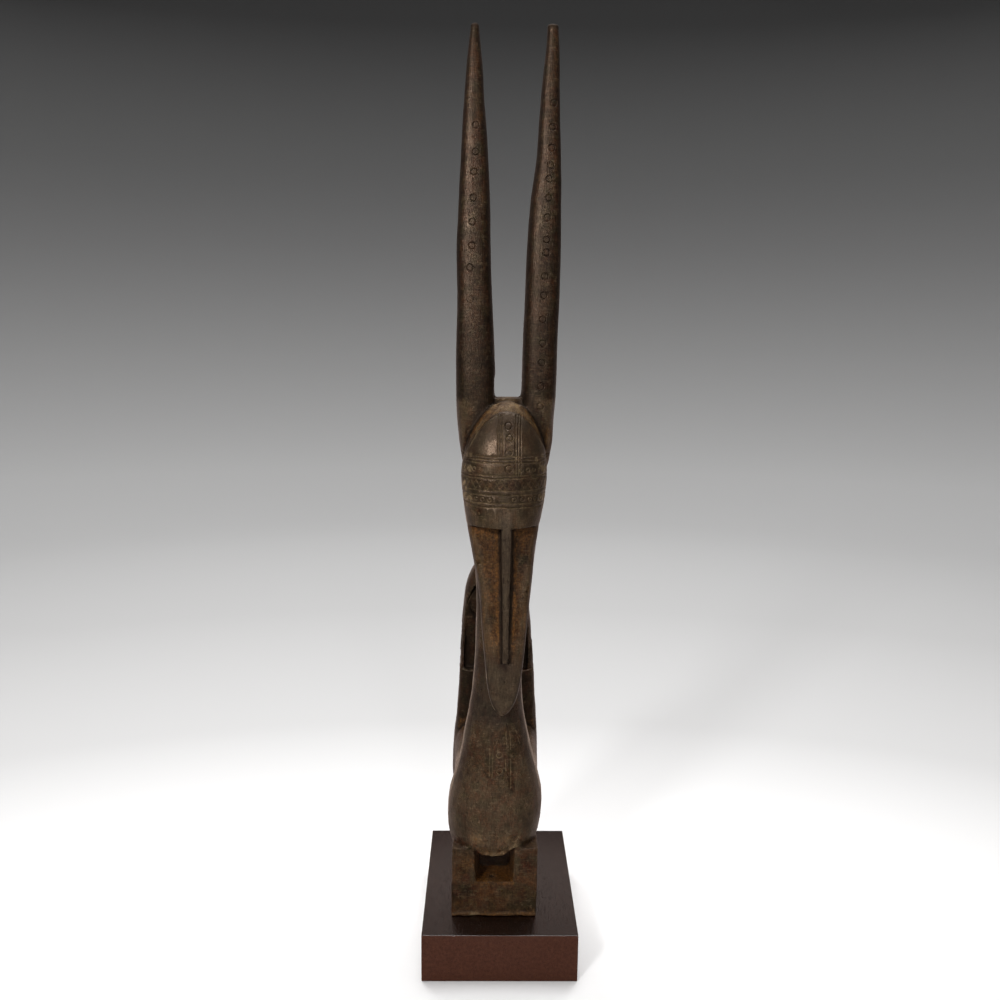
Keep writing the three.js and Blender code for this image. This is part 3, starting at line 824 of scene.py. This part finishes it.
def distance_within(near, chosen):
    """How far the points of one part are from the chosen ones among them, up to EDGE_REACH."""
    apart = np.full(len(skin), EDGE_REACH)
    apart[near] = distances(tree_of(skin[near & chosen]), skin[near], EDGE_REACH)
    return apart


near_head = (back < -55) & (up > CHIN - 3) & (up < 575)
sideways = (-outward[:, 1] < 0.12) & (np.abs(outward[:, 0]) > 0.7) & (from_bar > 7)
from_side_of_head = distance_within(near_head, sideways) / MM
from_front_of_head = distance_within(near_head, -outward[:, 1] > 0.5) / MM
# Painted highlights: thin light lines along the edges of the face, the neck, the chest and the dome. Painted
# shade: a dark line just inside the edge of the face.
face_edge = in_front * zone(up, CHIN, 560, 6) * fall(from_side_of_head, *FACE_EDGE)
face_edge = face_edge * fall(from_front_of_head, *FACE_FRONT)
face_edge_shade = on_face * zone(from_side_of_head, 2.9, 4.4, 0.6)
before_nape = fall(back, *NAPE)
neck_edge = zone(up, 190, 470, 14) * before_nape * zone(facing_front, 0.03, 0.22, 0.04) * (1 - on_face)
chest_edge = zone(up, 95, 190, 14) * before_nape * zone(facing_front, 0.03, 0.2, 0.05)
dome_edge = zone(up, 465, 575, 14) * in_front * zone(facing_front, 0.03, 0.18, 0.05)
print("points on the edge of the face:", int((face_edge > 0.5).sum()))

# %% Parts of the body and the foot
NOTCH_SIDES, NOTCH_MOUTH, NOTCH_BACK = (-27, 21), (-77, -44), (-41, 0)
CHEST_FROM, CHEST_TO = 95, 235

in_notch = zone(up, SLAB_TOP - 3, LEG_TOP + 6, 3) * zone(side, *NOTCH_SIDES, 1.5)
notch = in_notch * zone(back, *NOTCH_MOUTH, 2)
# Painted shade at the back of the notch.
notch_depth = in_notch * zone(back, *NOTCH_BACK, 3)
legs = zone(up, SLAB_TOP, LEG_TOP - 6, 8) * facing_front
# Painted shade on the tops of the legs.
leg_tops = zone(up, LEG_TOP - 1, LEG_TOP + 14, 2) * rise(outward[:, 2], 0.3, 0.8)
foot = fall(up, LEG_TOP, LEG_TOP + 10)
# Painted highlights on the lip of the foot, which is partly worn too.
foot_lip = fall(up, FOOT_LIP, FOOT_LIP + 2) * fall(back, -74, -70)
bright_lip = foot_lip * zone(side, -27, -19, 2)
orange_lip = foot_lip * zone(side, 27, 47, 2)
chest = zone(up, CHEST_FROM, CHEST_TO, 20) * fall(back, -50, -30) * facing_front
chest_rim = chest_rim_at(skin, outward)
# Painted shade on the sides of the chest.
chest_flanks = chest * rise(np.abs(side + 2), 20, 42) * fall(up, 190, 215)
beside_chest_stroke = chest * np.clip(3 - from_stroke, 0, 1)
# Painted light on the front of the neck, which the head shades.
neck_front = zone(up, 190, 330, 20) * before_nape * facing_front
at_rear = rise(back, 16, 26) * (1 - on_horns) * zone(up, 110, 480, 10)
rear = at_rear * facing_front
rump_crease = zone(up, 186, 194, 4) * rise(back, 18, 26) * facing_front
print("points on the low rim of the chest:", int((chest_rim > 0.5).sum()))

# %% [markdown]
# ## Seven layers from the parts
#
# Each layer is a list of parts with how strongly it shows there. Wood ages unevenly, so most parts have a
# mean level and a swing, by which the random hills lift and lower it. Where parts overlap, the strongest
# one counts, as one coat of dirt hides another.


# %% Bare wood and its palest part, with painted light and a painted glint
def uneven(part, level, swing=0.0, hills=specks):
    """A part of the crest at this level, lifted and lowered by random hills."""
    return part * (level + swing * hills)


def strongest(*parts):
    return np.maximum.reduce(parts)


# Under the brow this layer paints light into the shade of the brow ledge. On the lip of the foot and the
# chest's low rim it is partly worn wood and partly a painted highlight.
raw_and_lit = strongest(
    cheeks * (0.2 + 0.35 * patches + 0.45 * streaks),
    uneven(foot, 0.14, 0.22, patches),
    uneven(under_brow, 0.75, 0.25),
    uneven(beside_bar, 0.95, 0.25, streaks),
    uneven(crown, 0.85, 0.25),
    uneven(horn_root, 0.55, 0.4, streaks),
    uneven(notch, 0.85, 0.15),
    uneven(legs, 0.2, 0.45, patches),
    uneven(foot_lip, 0.7, 0.6, patches),
    uneven(chest_rim, 0.3, 0.6, patches),
    orange_lip,
    uneven(rump_crease, 0.5, 0.4))
# The glint in this layer is a painted highlight on the crown.
pale_and_glint = strongest(uneven(crown, 0.3, 0.9), uneven(crown_right, 0.6), crown_glint)
print("points where bare wood shows:", int((raw_and_lit > 0.5).sum()))

# %% Rubbed and scratched places, with painted highlights
PROUD, SUNKEN = (0.08, 0.6), (0.08, 0.7)
CHEST_SHINE, CHEST_SHINE_WIDTH = 0.3, 18
STROKE_SHINE = 1.1

chest_middle = chest * CHEST_SHINE * np.exp(-(side / CHEST_SHINE_WIDTH) ** 2)
# Besides the wear on proud places, this layer holds a painted highlight down the middle of the chest, painted
# light on the front of the neck against the shade of the head, and painted highlights along the lip of the
# foot and the chest's low rim, which are partly worn. The front faces of the foot are made lighter too.
rubbed_and_lit = strongest(
    uneven(rise(stands_out, *PROUD), 0.7, 0.3) * (1 - 0.8 * at_rear) * (1 - 0.5 * foot),
    uneven(chest_middle, 0.5, 0.9),
    uneven(chest_rim, 0.6, 0.6),
    uneven(neck_front, 0.3, 0.25, patches),
    uneven(foot * facing_front, 0.2, 0.2) * (1 - notch),
    uneven(foot_lip, 0.5, 0.5))
off_the_bar = (1 - bar) * (1 - rise(from_bar, -1, 3) * on_face)
# Besides the strokes, this layer holds painted highlights: thin light lines along the edges of the face,
# neck, chest and dome, the glint on the crown, the lip of the foot and part of the chest's low rim.
scratches_and_highlights = strongest(
    uneven(in_stroke * (1 - on_horns) * off_the_bar, STROKE_SHINE),
    uneven(face_edge, 0.85, 0.2),
    uneven(chest_rim, 0.12, 0.4),
    crown_glint,
    bright_lip,
    uneven(neck_edge, 0.4, 0.3),
    uneven(np.maximum(chest_edge, dome_edge), 0.3, 0.3))
print("points that are scratched:", int((scratches_and_highlights > 0.5).sum()))

# %% Grime, soot, painted shade and the grey film
FRONT_CORNER = (0.02, 0.5)

sunken = rise(-stands_out, *SUNKEN) * (1 - 0.7 * notch) * (1 - 0.7 * under_brow) * (1 - 0.5 * foot)
sunken = sunken * (1 - 0.9 * beside_chest_stroke)
in_nail = np.linalg.norm((skin - np.array(nail_place))[:, :2], axis=1) < NAIL_RADIUS
# Painted shade where the form turns away from the front, kept off the painted light lines along the edges.
front_corner = zone(-outward[:, 1], *FRONT_CORNER, 0.16) * fall(outward[:, 2], 0.3, 0.6)
for light_edge in (face_edge, neck_edge, chest_edge, dome_edge, chest_rim):
    front_corner = front_corner * (1 - light_edge)
# Painted shade in this layer: the dark line inside the face's edge, the sides of the chest and of the horns,
# the walls beside the strokes, the right of the forehead, the hump between the horns and the saddle behind
# the crown, the tops of the legs, the back of the notch, the tops of the horn tips and the corners that turn
# away from the front. The band under the crown's edge, the rear and the feet of the horns are painted darker
# too. The rest is soot and dirt in creases, rings, grooves and the nail hole.
grime_and_shade = strongest(
    sunken,
    uneven(in_ring * on_horns, 0.9),
    uneven(bar_groove, 0.8),
    uneven(face_edge_shade, 0.6),
    uneven(chest_flanks, 0.35, 0.35, patches),
    uneven(horn_sides, 0.75, 0.15, patches),
    uneven(notch_depth, 0.35),
    uneven(tip_tops, 0.9),
    uneven(beside_stroke * (1 - chest), 0.5),
    uneven(under_crown, 0.6),
    uneven(dome_right, 0.42, 0.12, patches),
    uneven(crown, 0.15, -0.7),
    uneven(bridge_top, 0.75),
    uneven(leg_tops, 0.55),
    rear * (0.42 + 0.2 * patches - 0.2 * rise(side, 0, 10)) * (1 - rump_crease),
    uneven(behind_crown, 0.75),
    uneven(horn_foot, 0.5, 0.2, patches),
    uneven(on_horns, 0.1, 0.4, horn_streaks) * (1 - 0.6 * rise(up, 800, 900)),
    uneven(in_nail * notch, 0.9),
    uneven(front_corner, 0.45, 0.15, patches))
grime_and_shade = grime_and_shade * (1 - 0.8 * chest_rim)
ashen = np.maximum(bar, 0.8 * muzzle)
print("points under grime:", int((grime_and_shade > 0.5).sum()))


# %% Paint the layers on the points
def paint(piece, name, values):
    """Keeps a number from 0 to 1 on each point of the mesh, for the material to read."""
    layer = piece.data.attributes.new(name, "FLOAT", "POINT")
    layer.data.foreach_set("value", np.clip(values, 0, 1).astype(np.float32))


for name, values in (("raw_and_lit", raw_and_lit), ("rubbed_and_lit", rubbed_and_lit), ("scratches_and_highlights", scratches_and_highlights), ("grime_and_shade", grime_and_shade),
                     ("ashen", ashen), ("handled", dome), ("pale_and_glint", pale_and_glint)):
    paint(carving, name, values)
    print("mean of", name, round(float(np.clip(values, 0, 1).mean()), 3))

# %% [markdown]
# ## Paint and polish
#
# A small function adds a shader node, sets its values and links its inputs, so that each material below
# reads like a recipe. Colours are given as they look on a screen and turned to light values once.


# %% Helpers for materials
def colour(code):
    """A screen colour such as 8a5a33 as linear light."""
    parts = (int(code[start:start + 2], 16) / 255 for start in (0, 2, 4))
    linear = (part / 12.92 if part <= 0.04045 else ((part + 0.055) / 1.055) ** 2.4 for part in parts)
    return tuple(linear) + (1.0,)


def new_material(name):
    material = bpy.data.materials.new(name)
    material.use_nodes = True
    material.node_tree.nodes.clear()
    return material, material.node_tree


def add_node(tree, kind, inputs=None, **settings):
    """Adds a node with its settings. Its inputs are given by name or number, as values or other nodes."""
    node = tree.nodes.new("ShaderNode" + kind)
    for name, value in settings.items():
        setattr(node, name, value)
    for name, value in (inputs or {}).items():
        if isinstance(value, bpy.types.Node):
            value = value.outputs[0]
        if isinstance(value, bpy.types.NodeSocket):
            tree.links.new(value, node.inputs[name])
        else:
            node.inputs[name].default_value = value
    return node


print("white in linear light:", colour("ffffff"))

# %% [markdown]
# ## Patina on the carving
#
# Oiled and smoked wood is dark but never flat: brown with worn, red and greenish patches, fine grain along
# the height, pores, pits and scuffs. Each is one noise, and a row of the table gives its size in mm, its
# detail and roughness, how far it is stretched along each axis, a shift that keeps it apart from the others,
# and the part of its range that counts. The painted layers go on in the order in which they came: bare and
# rubbed wood with their painted light first, scratches and painted highlights next, soot, grime and painted
# shade last.

# %% Noises for the wood
EVEN = (1, 1, 1)
wood, tree = new_material("oiled_and_smoked_hardwood")
spot = add_node(tree, "TexCoord").outputs["Object"]


def noise(place, size_mm, detail, roughness=0.55, stretch=EVEN, shift=0.0):
    """Noise whose blotches are about size_mm apart, longer where stretch is over 1."""
    scale = tuple(1 / (size_mm * MM * part) for part in stretch)
    mapped = add_node(tree, "Mapping", {"Vector": place, "Location": (shift, shift, shift), "Scale": scale})
    inputs = {"Vector": mapped, "Scale": 1.0, "Detail": detail, "Roughness": roughness}
    return add_node(tree, "TexNoise", inputs).outputs["Fac"]


def spread(value, low, high, to_low=0.0, to_high=1.0):
    """Stretches the part of a value between low and high over another range."""
    return add_node(tree, "MapRange", {"Value": value, "From Min": low, "From Max": high,
                                       "To Min": to_low, "To Max": to_high}).outputs["Result"]


def math_of(operation, first, second, clamp=True):
    """Arithmetic, kept between 0 and 1 unless it is about lengths."""
    return add_node(tree, "Math", {0: first, 1: second}, operation=operation, use_clamp=clamp).outputs[0]


def part_of(value, strength):
    """A value made weaker by another, as a coat laid on thinly."""
    return math_of("MULTIPLY", value, strength)


def blend(share, below, above, how="MIX"):
    """One colour laid over another, by a share from 0 to 1."""
    inputs = {"Factor": share, 6: below, 7: above}
    return add_node(tree, "Mix", inputs, data_type="RGBA", blend_type=how).outputs[2]


def painted(name):
    return add_node(tree, "Attribute", attribute_name=name).outputs["Fac"]


FOOT_HEIGHT, HEAD_HEIGHT, HORN_ROOT, HORN_MIDDLE = 0.06, 0.42, 0.55, 0.7
TIPS_FROM, TIPS_FULL = 0.827, 0.8295
FOOT_REDNESS, HEAD_REDNESS, HORN_REDNESS = 0.8, 0.35, 0.06

mottles = noise(spot, 4.5, 6, 0.72)
broad = noise(spot, 17, 3, shift=3.1)
wear = math_of("ADD", part_of(spread(mottles, 0.40, 0.64), 0.75), spread(broad, 0.38, 0.62, -0.3, 0.45))
grain, pores, scrapes, scuffs, flecks, pits, greenness, patches_of_red = (
    spread(noise(spot, *settings), low, high) for *settings, low, high in (
        (0.9, 3, 0.55, (1, 1, 14), 1.7, 0.36, 0.64),
        (0.55, 2, 0.55, (1, 1, 9), 7.9, 0.60, 0.68),
        (0.9, 2, 0.55, (9, 9, 1), 16.1, 0.56, 0.66),
        (2.6, 5, 0.65, (1.6, 1, 1), 4.4, 0.57, 0.66),
        (1.8, 4, 0.7, EVEN, 5.3, 0.50, 0.72),
        (3.4, 4, 0.6, EVEN, 6.7, 0.60, 0.72),
        (9, 4, 0.55, EVEN, 12.6, 0.50, 0.62),
        (11, 4, 0.55, EVEN, 9.4, 0.40, 0.6)))
speckle = spread(noise(spot, 2.1, 3, 0.75, shift=14.2), 0.35, 0.66, 0.1, 1.95)
height = add_node(tree, "SeparateXYZ", {"Vector": spot}).outputs["Z"]
# Painted shade: the tops of the horn tips are made darker, and rougher, against the lamp above them.
horn_tips = spread(height, TIPS_FROM, TIPS_FULL)
redness = math_of("ADD", spread(height, FOOT_HEIGHT, HEAD_HEIGHT, FOOT_REDNESS, HEAD_REDNESS),
                  spread(height, HORN_ROOT, HORN_MIDDLE, 0, HORN_REDNESS))
redness = part_of(redness, patches_of_red)
print("nodes for the noises:", len(tree.nodes))

# %% Patina on the carving
# The soot colour also paints shade, the polished colour also paints light, and the scratch colour also paints
# highlights.
SMOKED, WORN, RED_BROWN, OLIVE, ASH, SOOT_AND_SHADE = (
    colour(code) for code in ("0c0804", "443120", "401a0b", "242412", "191a1d", "050302"))
OCHRE, BRIGHT_OCHRE, PALE_OCHRE, SCRATCH_AND_HIGHLIGHT, POLISH_AND_LIGHT = (
    colour(code) for code in ("643d16", "a4742e", "94794c", "a88f6a", "7a6750"))
SPECKLE_SHARE, BARE_SPECKLE_SHARE = 0.9, 0.7
WOOD_IOR, WARM_SHEEN = 1.48, colour("ffdcc0")
RELIEF_DEPTH = 0.6 * MM

tone = blend(redness, blend(wear, SMOKED, WORN), RED_BROWN)
tone = blend(part_of(greenness, 0.6), tone, OLIVE)
tone = blend(SPECKLE_SHARE, tone, speckle, "MULTIPLY")
# This tone also paints the light under the brow and highlights on the lip of the foot.
bare_and_lit_tone = blend(part_of(flecks, 0.45), OCHRE, BRIGHT_OCHRE)
bare_and_lit_tone = blend(part_of(painted("pale_and_glint"), spread(mottles, 0.38, 0.58, 0.1, 1)), bare_and_lit_tone, PALE_OCHRE)
bare_and_lit_tone = blend(BARE_SPECKLE_SHARE, bare_and_lit_tone, speckle, "MULTIPLY")
# The coats of bare wood and rubbed places carry painted light, that of scratches painted highlights, and
# those of grime and of the horn tips painted shade.
coats = (
    (part_of(scrapes, 0.25), POLISH_AND_LIGHT),
    (part_of(scuffs, 0.45), POLISH_AND_LIGHT),
    (part_of(pits, 0.6), SOOT_AND_SHADE),
    (part_of(painted("ashen"), 0.75), ASH),
    (part_of(painted("raw_and_lit"), spread(mottles, 0.35, 0.6, 0.7, 1.1)), bare_and_lit_tone),
    (part_of(painted("rubbed_and_lit"), spread(flecks, 0, 1, 0.4, 0.75)), POLISH_AND_LIGHT),
    (part_of(painted("scratches_and_highlights"), spread(mottles, 0.4, 0.6, 0.25, 1)), SCRATCH_AND_HIGHLIGHT),
    (part_of(grain, 0.3), SOOT_AND_SHADE),
    (part_of(pores, 0.5), SOOT_AND_SHADE),
    (part_of(painted("grime_and_shade"), 0.9), SOOT_AND_SHADE),
    (part_of(horn_tips, 0.6), SOOT_AND_SHADE))
for share, shade in coats:
    tone = blend(share, tone, shade)

roughness = spread(wear, 0, 1, 0.38, 0.27)
for operation, layer, strength in (
        ("ADD", painted("grime_and_shade"), 0.25), ("ADD", painted("raw_and_lit"), 0.2), ("SUBTRACT", painted("rubbed_and_lit"), 0.06),
        ("SUBTRACT", painted("handled"), 0.02), ("ADD", horn_tips, 0.4)):
    roughness = math_of(operation, roughness, part_of(layer, strength))
relief = math_of("ADD", part_of(grain, 0.15), part_of(mottles, 0.25))
relief = math_of("SUBTRACT", relief, part_of(pores, 0.15))
relief = math_of("ADD", relief, part_of(painted("raw_and_lit"), part_of(flecks, 0.35)))
bump = add_node(tree, "Bump", {"Height": relief, "Distance": RELIEF_DEPTH,
                               "Strength": spread(painted("handled"), 0, 1, 1, 0.6)})
shader = add_node(tree, "BsdfPrincipled", {"Base Color": tone, "Roughness": roughness, "Normal": bump,
                                           "IOR": WOOD_IOR, "Specular Tint": WARM_SHEEN})
add_node(tree, "OutputMaterial", {"Surface": shader})
carving.data.materials.clear()
carving.data.materials.append(wood)
print("nodes in the patina:", len(tree.nodes))

# %% [markdown]
# ## Lacquer on the plinth
#
# The block was stained red-brown and sealed. Its sides look matt and warm, and its top is nearly black with
# a faint, unsteady mirror of the crest. So a clear coat lies over the stain, with the ripple of brushed
# lacquer and the pores of the wood in it. The top's stain is painted darker than the sides', so that it also
# stands in for the shade in front of the crest's foot. The grain runs from front to back.

# %% Lacquer on the plinth
# The top's stains are darker than the sides' and also paint the shade in front of the crest's foot.
SIDE_STAINS, TOP_STAINS_AND_SHADE, PORE_STAIN = ("47271b", "533021"), ("0e0402", "180804"), "120604"
SIDE_ROUGHNESS, TOP_ROUGHNESS = 0.42, 0.24
LACQUER_IOR, LACQUER_SPECULAR, LACQUER_COAT, COAT_ROUGHNESS = 1.4, 0.2, 0.9, 0.07
LACQUER_RELIEF = 0.22 * MM

lacquer, tree = new_material("stained_and_lacquered_hardwood")
spot = add_node(tree, "TexCoord").outputs["Object"]
normal = add_node(tree, "NewGeometry").outputs["Normal"]
on_top = spread(add_node(tree, "SeparateXYZ", {"Vector": normal}).outputs["Z"], 0.5, 0.9)
figure = spread(noise(spot, 3, 4, stretch=(1, 6, 1)), 0.35, 0.65)
sides, top = (blend(figure, *(colour(code) for code in stains)) for stains in (SIDE_STAINS, TOP_STAINS_AND_SHADE))
pores = spread(noise(spot, 0.8, 2, stretch=(1, 5, 1), shift=2.3), 0.58, 0.68)
stain_and_shade = blend(part_of(pores, 0.4), blend(on_top, sides, top), colour(PORE_STAIN))
skin_of_lacquer = noise(spot, 1.5, 2, shift=4.8)
relief = math_of("SUBTRACT", skin_of_lacquer, part_of(pores, on_top))
bump = add_node(tree, "Bump", {"Height": relief, "Distance": LACQUER_RELIEF})
shader = add_node(tree, "BsdfPrincipled", {
    "Base Color": stain_and_shade, "Roughness": spread(on_top, 0, 1, SIDE_ROUGHNESS, TOP_ROUGHNESS),
    "Normal": bump, "Coat Normal": bump, "IOR": LACQUER_IOR, "Specular IOR Level": LACQUER_SPECULAR,
    "Coat Weight": LACQUER_COAT, "Coat Roughness": COAT_ROUGHNESS})
add_node(tree, "OutputMaterial", {"Surface": shader})
plinth.data.materials.append(lacquer)
print("nodes in the lacquer:", len(tree.nodes))

# %% [markdown]
# ## Floor and backdrop
#
# A studio sweep is one sheet that runs from the floor up behind the object with no corner. Here it is spun
# all the way round, so the object has the same calm background from every side.

# %% Sweep
SWEEP_RADIUS, SWEEP_BEND, SWEEP_HEIGHT = 3.2, 1.2, 2.6
SWEEP_STEPS = 96
BEND_STEPS = 16

sheet = bmesh.new()
profile = [(0, 0), (SWEEP_RADIUS - SWEEP_BEND, 0)]
profile += [(SWEEP_RADIUS - SWEEP_BEND + SWEEP_BEND * math.sin(turn), SWEEP_BEND * (1 - math.cos(turn)))
            for turn in (math.pi / 2 * step / BEND_STEPS for step in range(1, BEND_STEPS + 1))]
profile += [(SWEEP_RADIUS, SWEEP_HEIGHT)]
corners = [sheet.verts.new((across, 0, height)) for across, height in profile]
edges = [sheet.edges.new(pair) for pair in zip(corners, corners[1:])]
bmesh.ops.spin(sheet, geom=corners + edges, axis=(0, 0, 1), cent=(0, 0, 0), angle=2 * math.pi,
               steps=SWEEP_STEPS, use_merge=True)
bmesh.ops.remove_doubles(sheet, verts=sheet.verts, dist=MM)
bmesh.ops.recalc_face_normals(sheet, faces=sheet.faces)
sweep_mesh = bpy.data.meshes.new("sweep")
sheet.to_mesh(sweep_mesh)
sheet.free()
sweep = add_object("sweep", sweep_mesh)
shade_smooth(sweep)
sweep.visible_glossy = False
print("sweep reaches", SWEEP_RADIUS, "m out")

# %% [markdown]
# ## Shades of the backdrop
#
# The paper is white at the floor and darkens evenly upward. In the studio that is a matter of light, but a
# painted shade holds it steady from every side. It follows the way along the sheet, out over the floor and
# then up the wall, and a step to the side counts less than one to the back.

# %% Paper
SWEEP_SHADES = ((0.0, "ffffff"), (0.5, "cacaca"), (1.1, "b9b9b9"), (1.8, "b4b4b4"), (2.6, "aaaaaa"),
                (3.3, "939393"), (4.1, "717171"), (5.0, "3c3c3c"))
SWEEP_TRAVEL, SIDE_SHARE, SIDE_RISE = 5.2, 0.35, 0.17

paper, tree = new_material("white_backdrop_paper")

apart = add_node(tree, "SeparateXYZ", {"Vector": add_node(tree, "TexCoord").outputs["Object"]})
aside = math_of("MULTIPLY", apart.outputs["X"], SIDE_SHARE, clamp=False)
level = add_node(tree, "CombineXYZ", {"X": aside, "Y": apart.outputs["Y"]})
out = add_node(tree, "VectorMath", {0: level}, operation="LENGTH")
far_aside = math_of("POWER", apart.outputs["X"], 2.0, clamp=False)
far_aside = math_of("MULTIPLY", far_aside, SIDE_RISE, clamp=False)
travel = math_of("ADD", out.outputs["Value"], apart.outputs["Z"], clamp=False)
travel = math_of("ADD", travel, far_aside, clamp=False)
ramp = add_node(tree, "ValToRGB", {"Fac": math_of("DIVIDE", travel, SWEEP_TRAVEL, clamp=False)})
shades = ramp.color_ramp.elements
while len(shades) < len(SWEEP_SHADES):
    shades.new(0.5)
for shade, (place, code) in zip(shades, SWEEP_SHADES):
    shade.position = place / SWEEP_TRAVEL
    shade.color = colour(code)
shader = add_node(tree, "BsdfDiffuse", {"Color": ramp})
add_node(tree, "OutputMaterial", {"Surface": shader})
sweep.data.materials.append(paper)
sweep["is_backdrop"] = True
print("shades along the sweep:", len(shades))

# %% [markdown]
# ## Light
#
# The crest is dark and half glossy, so the eye mostly sees the lamps in it. A wide softbox overhead models
# it from above, a small one from the left gives the glint on the forehead, and two weak ones open the
# shadows in front. Two fills behind, without sparkle, make the back readable. The walls are dim but for a
# bright one behind and a pale floor, which draw the thin light lines along the sides.


# %% Lights
def add_softbox(name, place, aim, width, height, power, sparkle=True):
    """A rectangle of soft light at a place in metres, turned to a point. A fill leaves no sparkle."""
    data = bpy.data.lights.new(name, "AREA")
    data.shape = "RECTANGLE"
    data.size, data.size_y = width, height
    data.energy = power
    lamp = add_object(name, data)
    lamp.location = place
    lamp.visible_glossy = sparkle
    lamp.visible_camera = False
    lamp.rotation_euler = (Vector(aim) - Vector(place)).to_track_quat("-Z", "Y").to_euler()
    return lamp


CREST_MIDDLE, FOOT_MIDDLE = (0, 0, 0.45), (0, 0, 0.25)
softboxes = [
    add_softbox("softbox overhead", (0.0, 0.6, 3.3), CREST_MIDDLE, 2.4, 1.8, 108),
    add_softbox("softbox front left", (-1.05, -1.75, 1.6), CREST_MIDDLE, 0.3, 0.36, 23),
    add_softbox("softbox front right", (0.42, -1.97, 1.55), CREST_MIDDLE, 0.2, 0.3, 4),
    add_softbox("softbox low front", (0.15, -2.1, 0.4), FOOT_MIDDLE, 1.0, 0.5, 3),
    add_softbox("fill back left", (1.4, 2.2, 2.5), CREST_MIDDLE, 1.0, 1.2, 19, sparkle=False),
    add_softbox("fill back right", (-1.4, 2.2, 2.5), CREST_MIDDLE, 1.0, 1.2, 19, sparkle=False),
]
print("softboxes:", len(softboxes))

# %% Studio walls
WALL_TINT, WALL_DIM, WALL_BRIGHT = colour("ffe6dc"), 0.06, 0.62
BEHIND, ABOVE, BELOW, FLOOR_GLOW = (0.3, 0.8), (0.28, 0.45), (0.06, -0.06), 1.6

world = bpy.data.worlds.new("studio")
bpy.context.scene.world = world
world.use_nodes = True
tree = world.node_tree
background = tree.nodes["Background"]


def soft_range(value, limits, most=1.0):
    """0 at the first limit and the most at the second, with soft ends."""
    return add_node(tree, "MapRange", {"Value": value, "From Min": limits[0], "From Max": limits[1],
                                       "To Max": most}, interpolation_type="SMOOTHSTEP")


towards = add_node(tree, "SeparateXYZ", {"Vector": add_node(tree, "TexCoord").outputs["Generated"]})
behind = soft_range(towards.outputs["Y"], BEHIND)
bright = math_of("ADD", soft_range(towards.outputs["Z"], ABOVE),
                 soft_range(towards.outputs["Z"], BELOW, FLOOR_GLOW), clamp=False)
glow = add_node(tree, "MapRange", {"Value": math_of("MULTIPLY", behind, bright, clamp=False),
                                   "To Min": WALL_DIM, "To Max": WALL_BRIGHT})
background.inputs["Color"].default_value = WALL_TINT
tree.links.new(glow.outputs["Result"], background.inputs["Strength"])
bpy.context.scene.view_settings.view_transform = "Standard"
print("nodes in the studio walls:", len(tree.nodes))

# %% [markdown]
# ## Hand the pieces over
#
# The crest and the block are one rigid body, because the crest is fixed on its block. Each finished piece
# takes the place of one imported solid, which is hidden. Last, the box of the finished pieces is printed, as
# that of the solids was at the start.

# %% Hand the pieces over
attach(carving, "root")
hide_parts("carving")
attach(plinth, "root")
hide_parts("plinth")

visual_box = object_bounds()
print_box("visual box in mm:", visual_box)
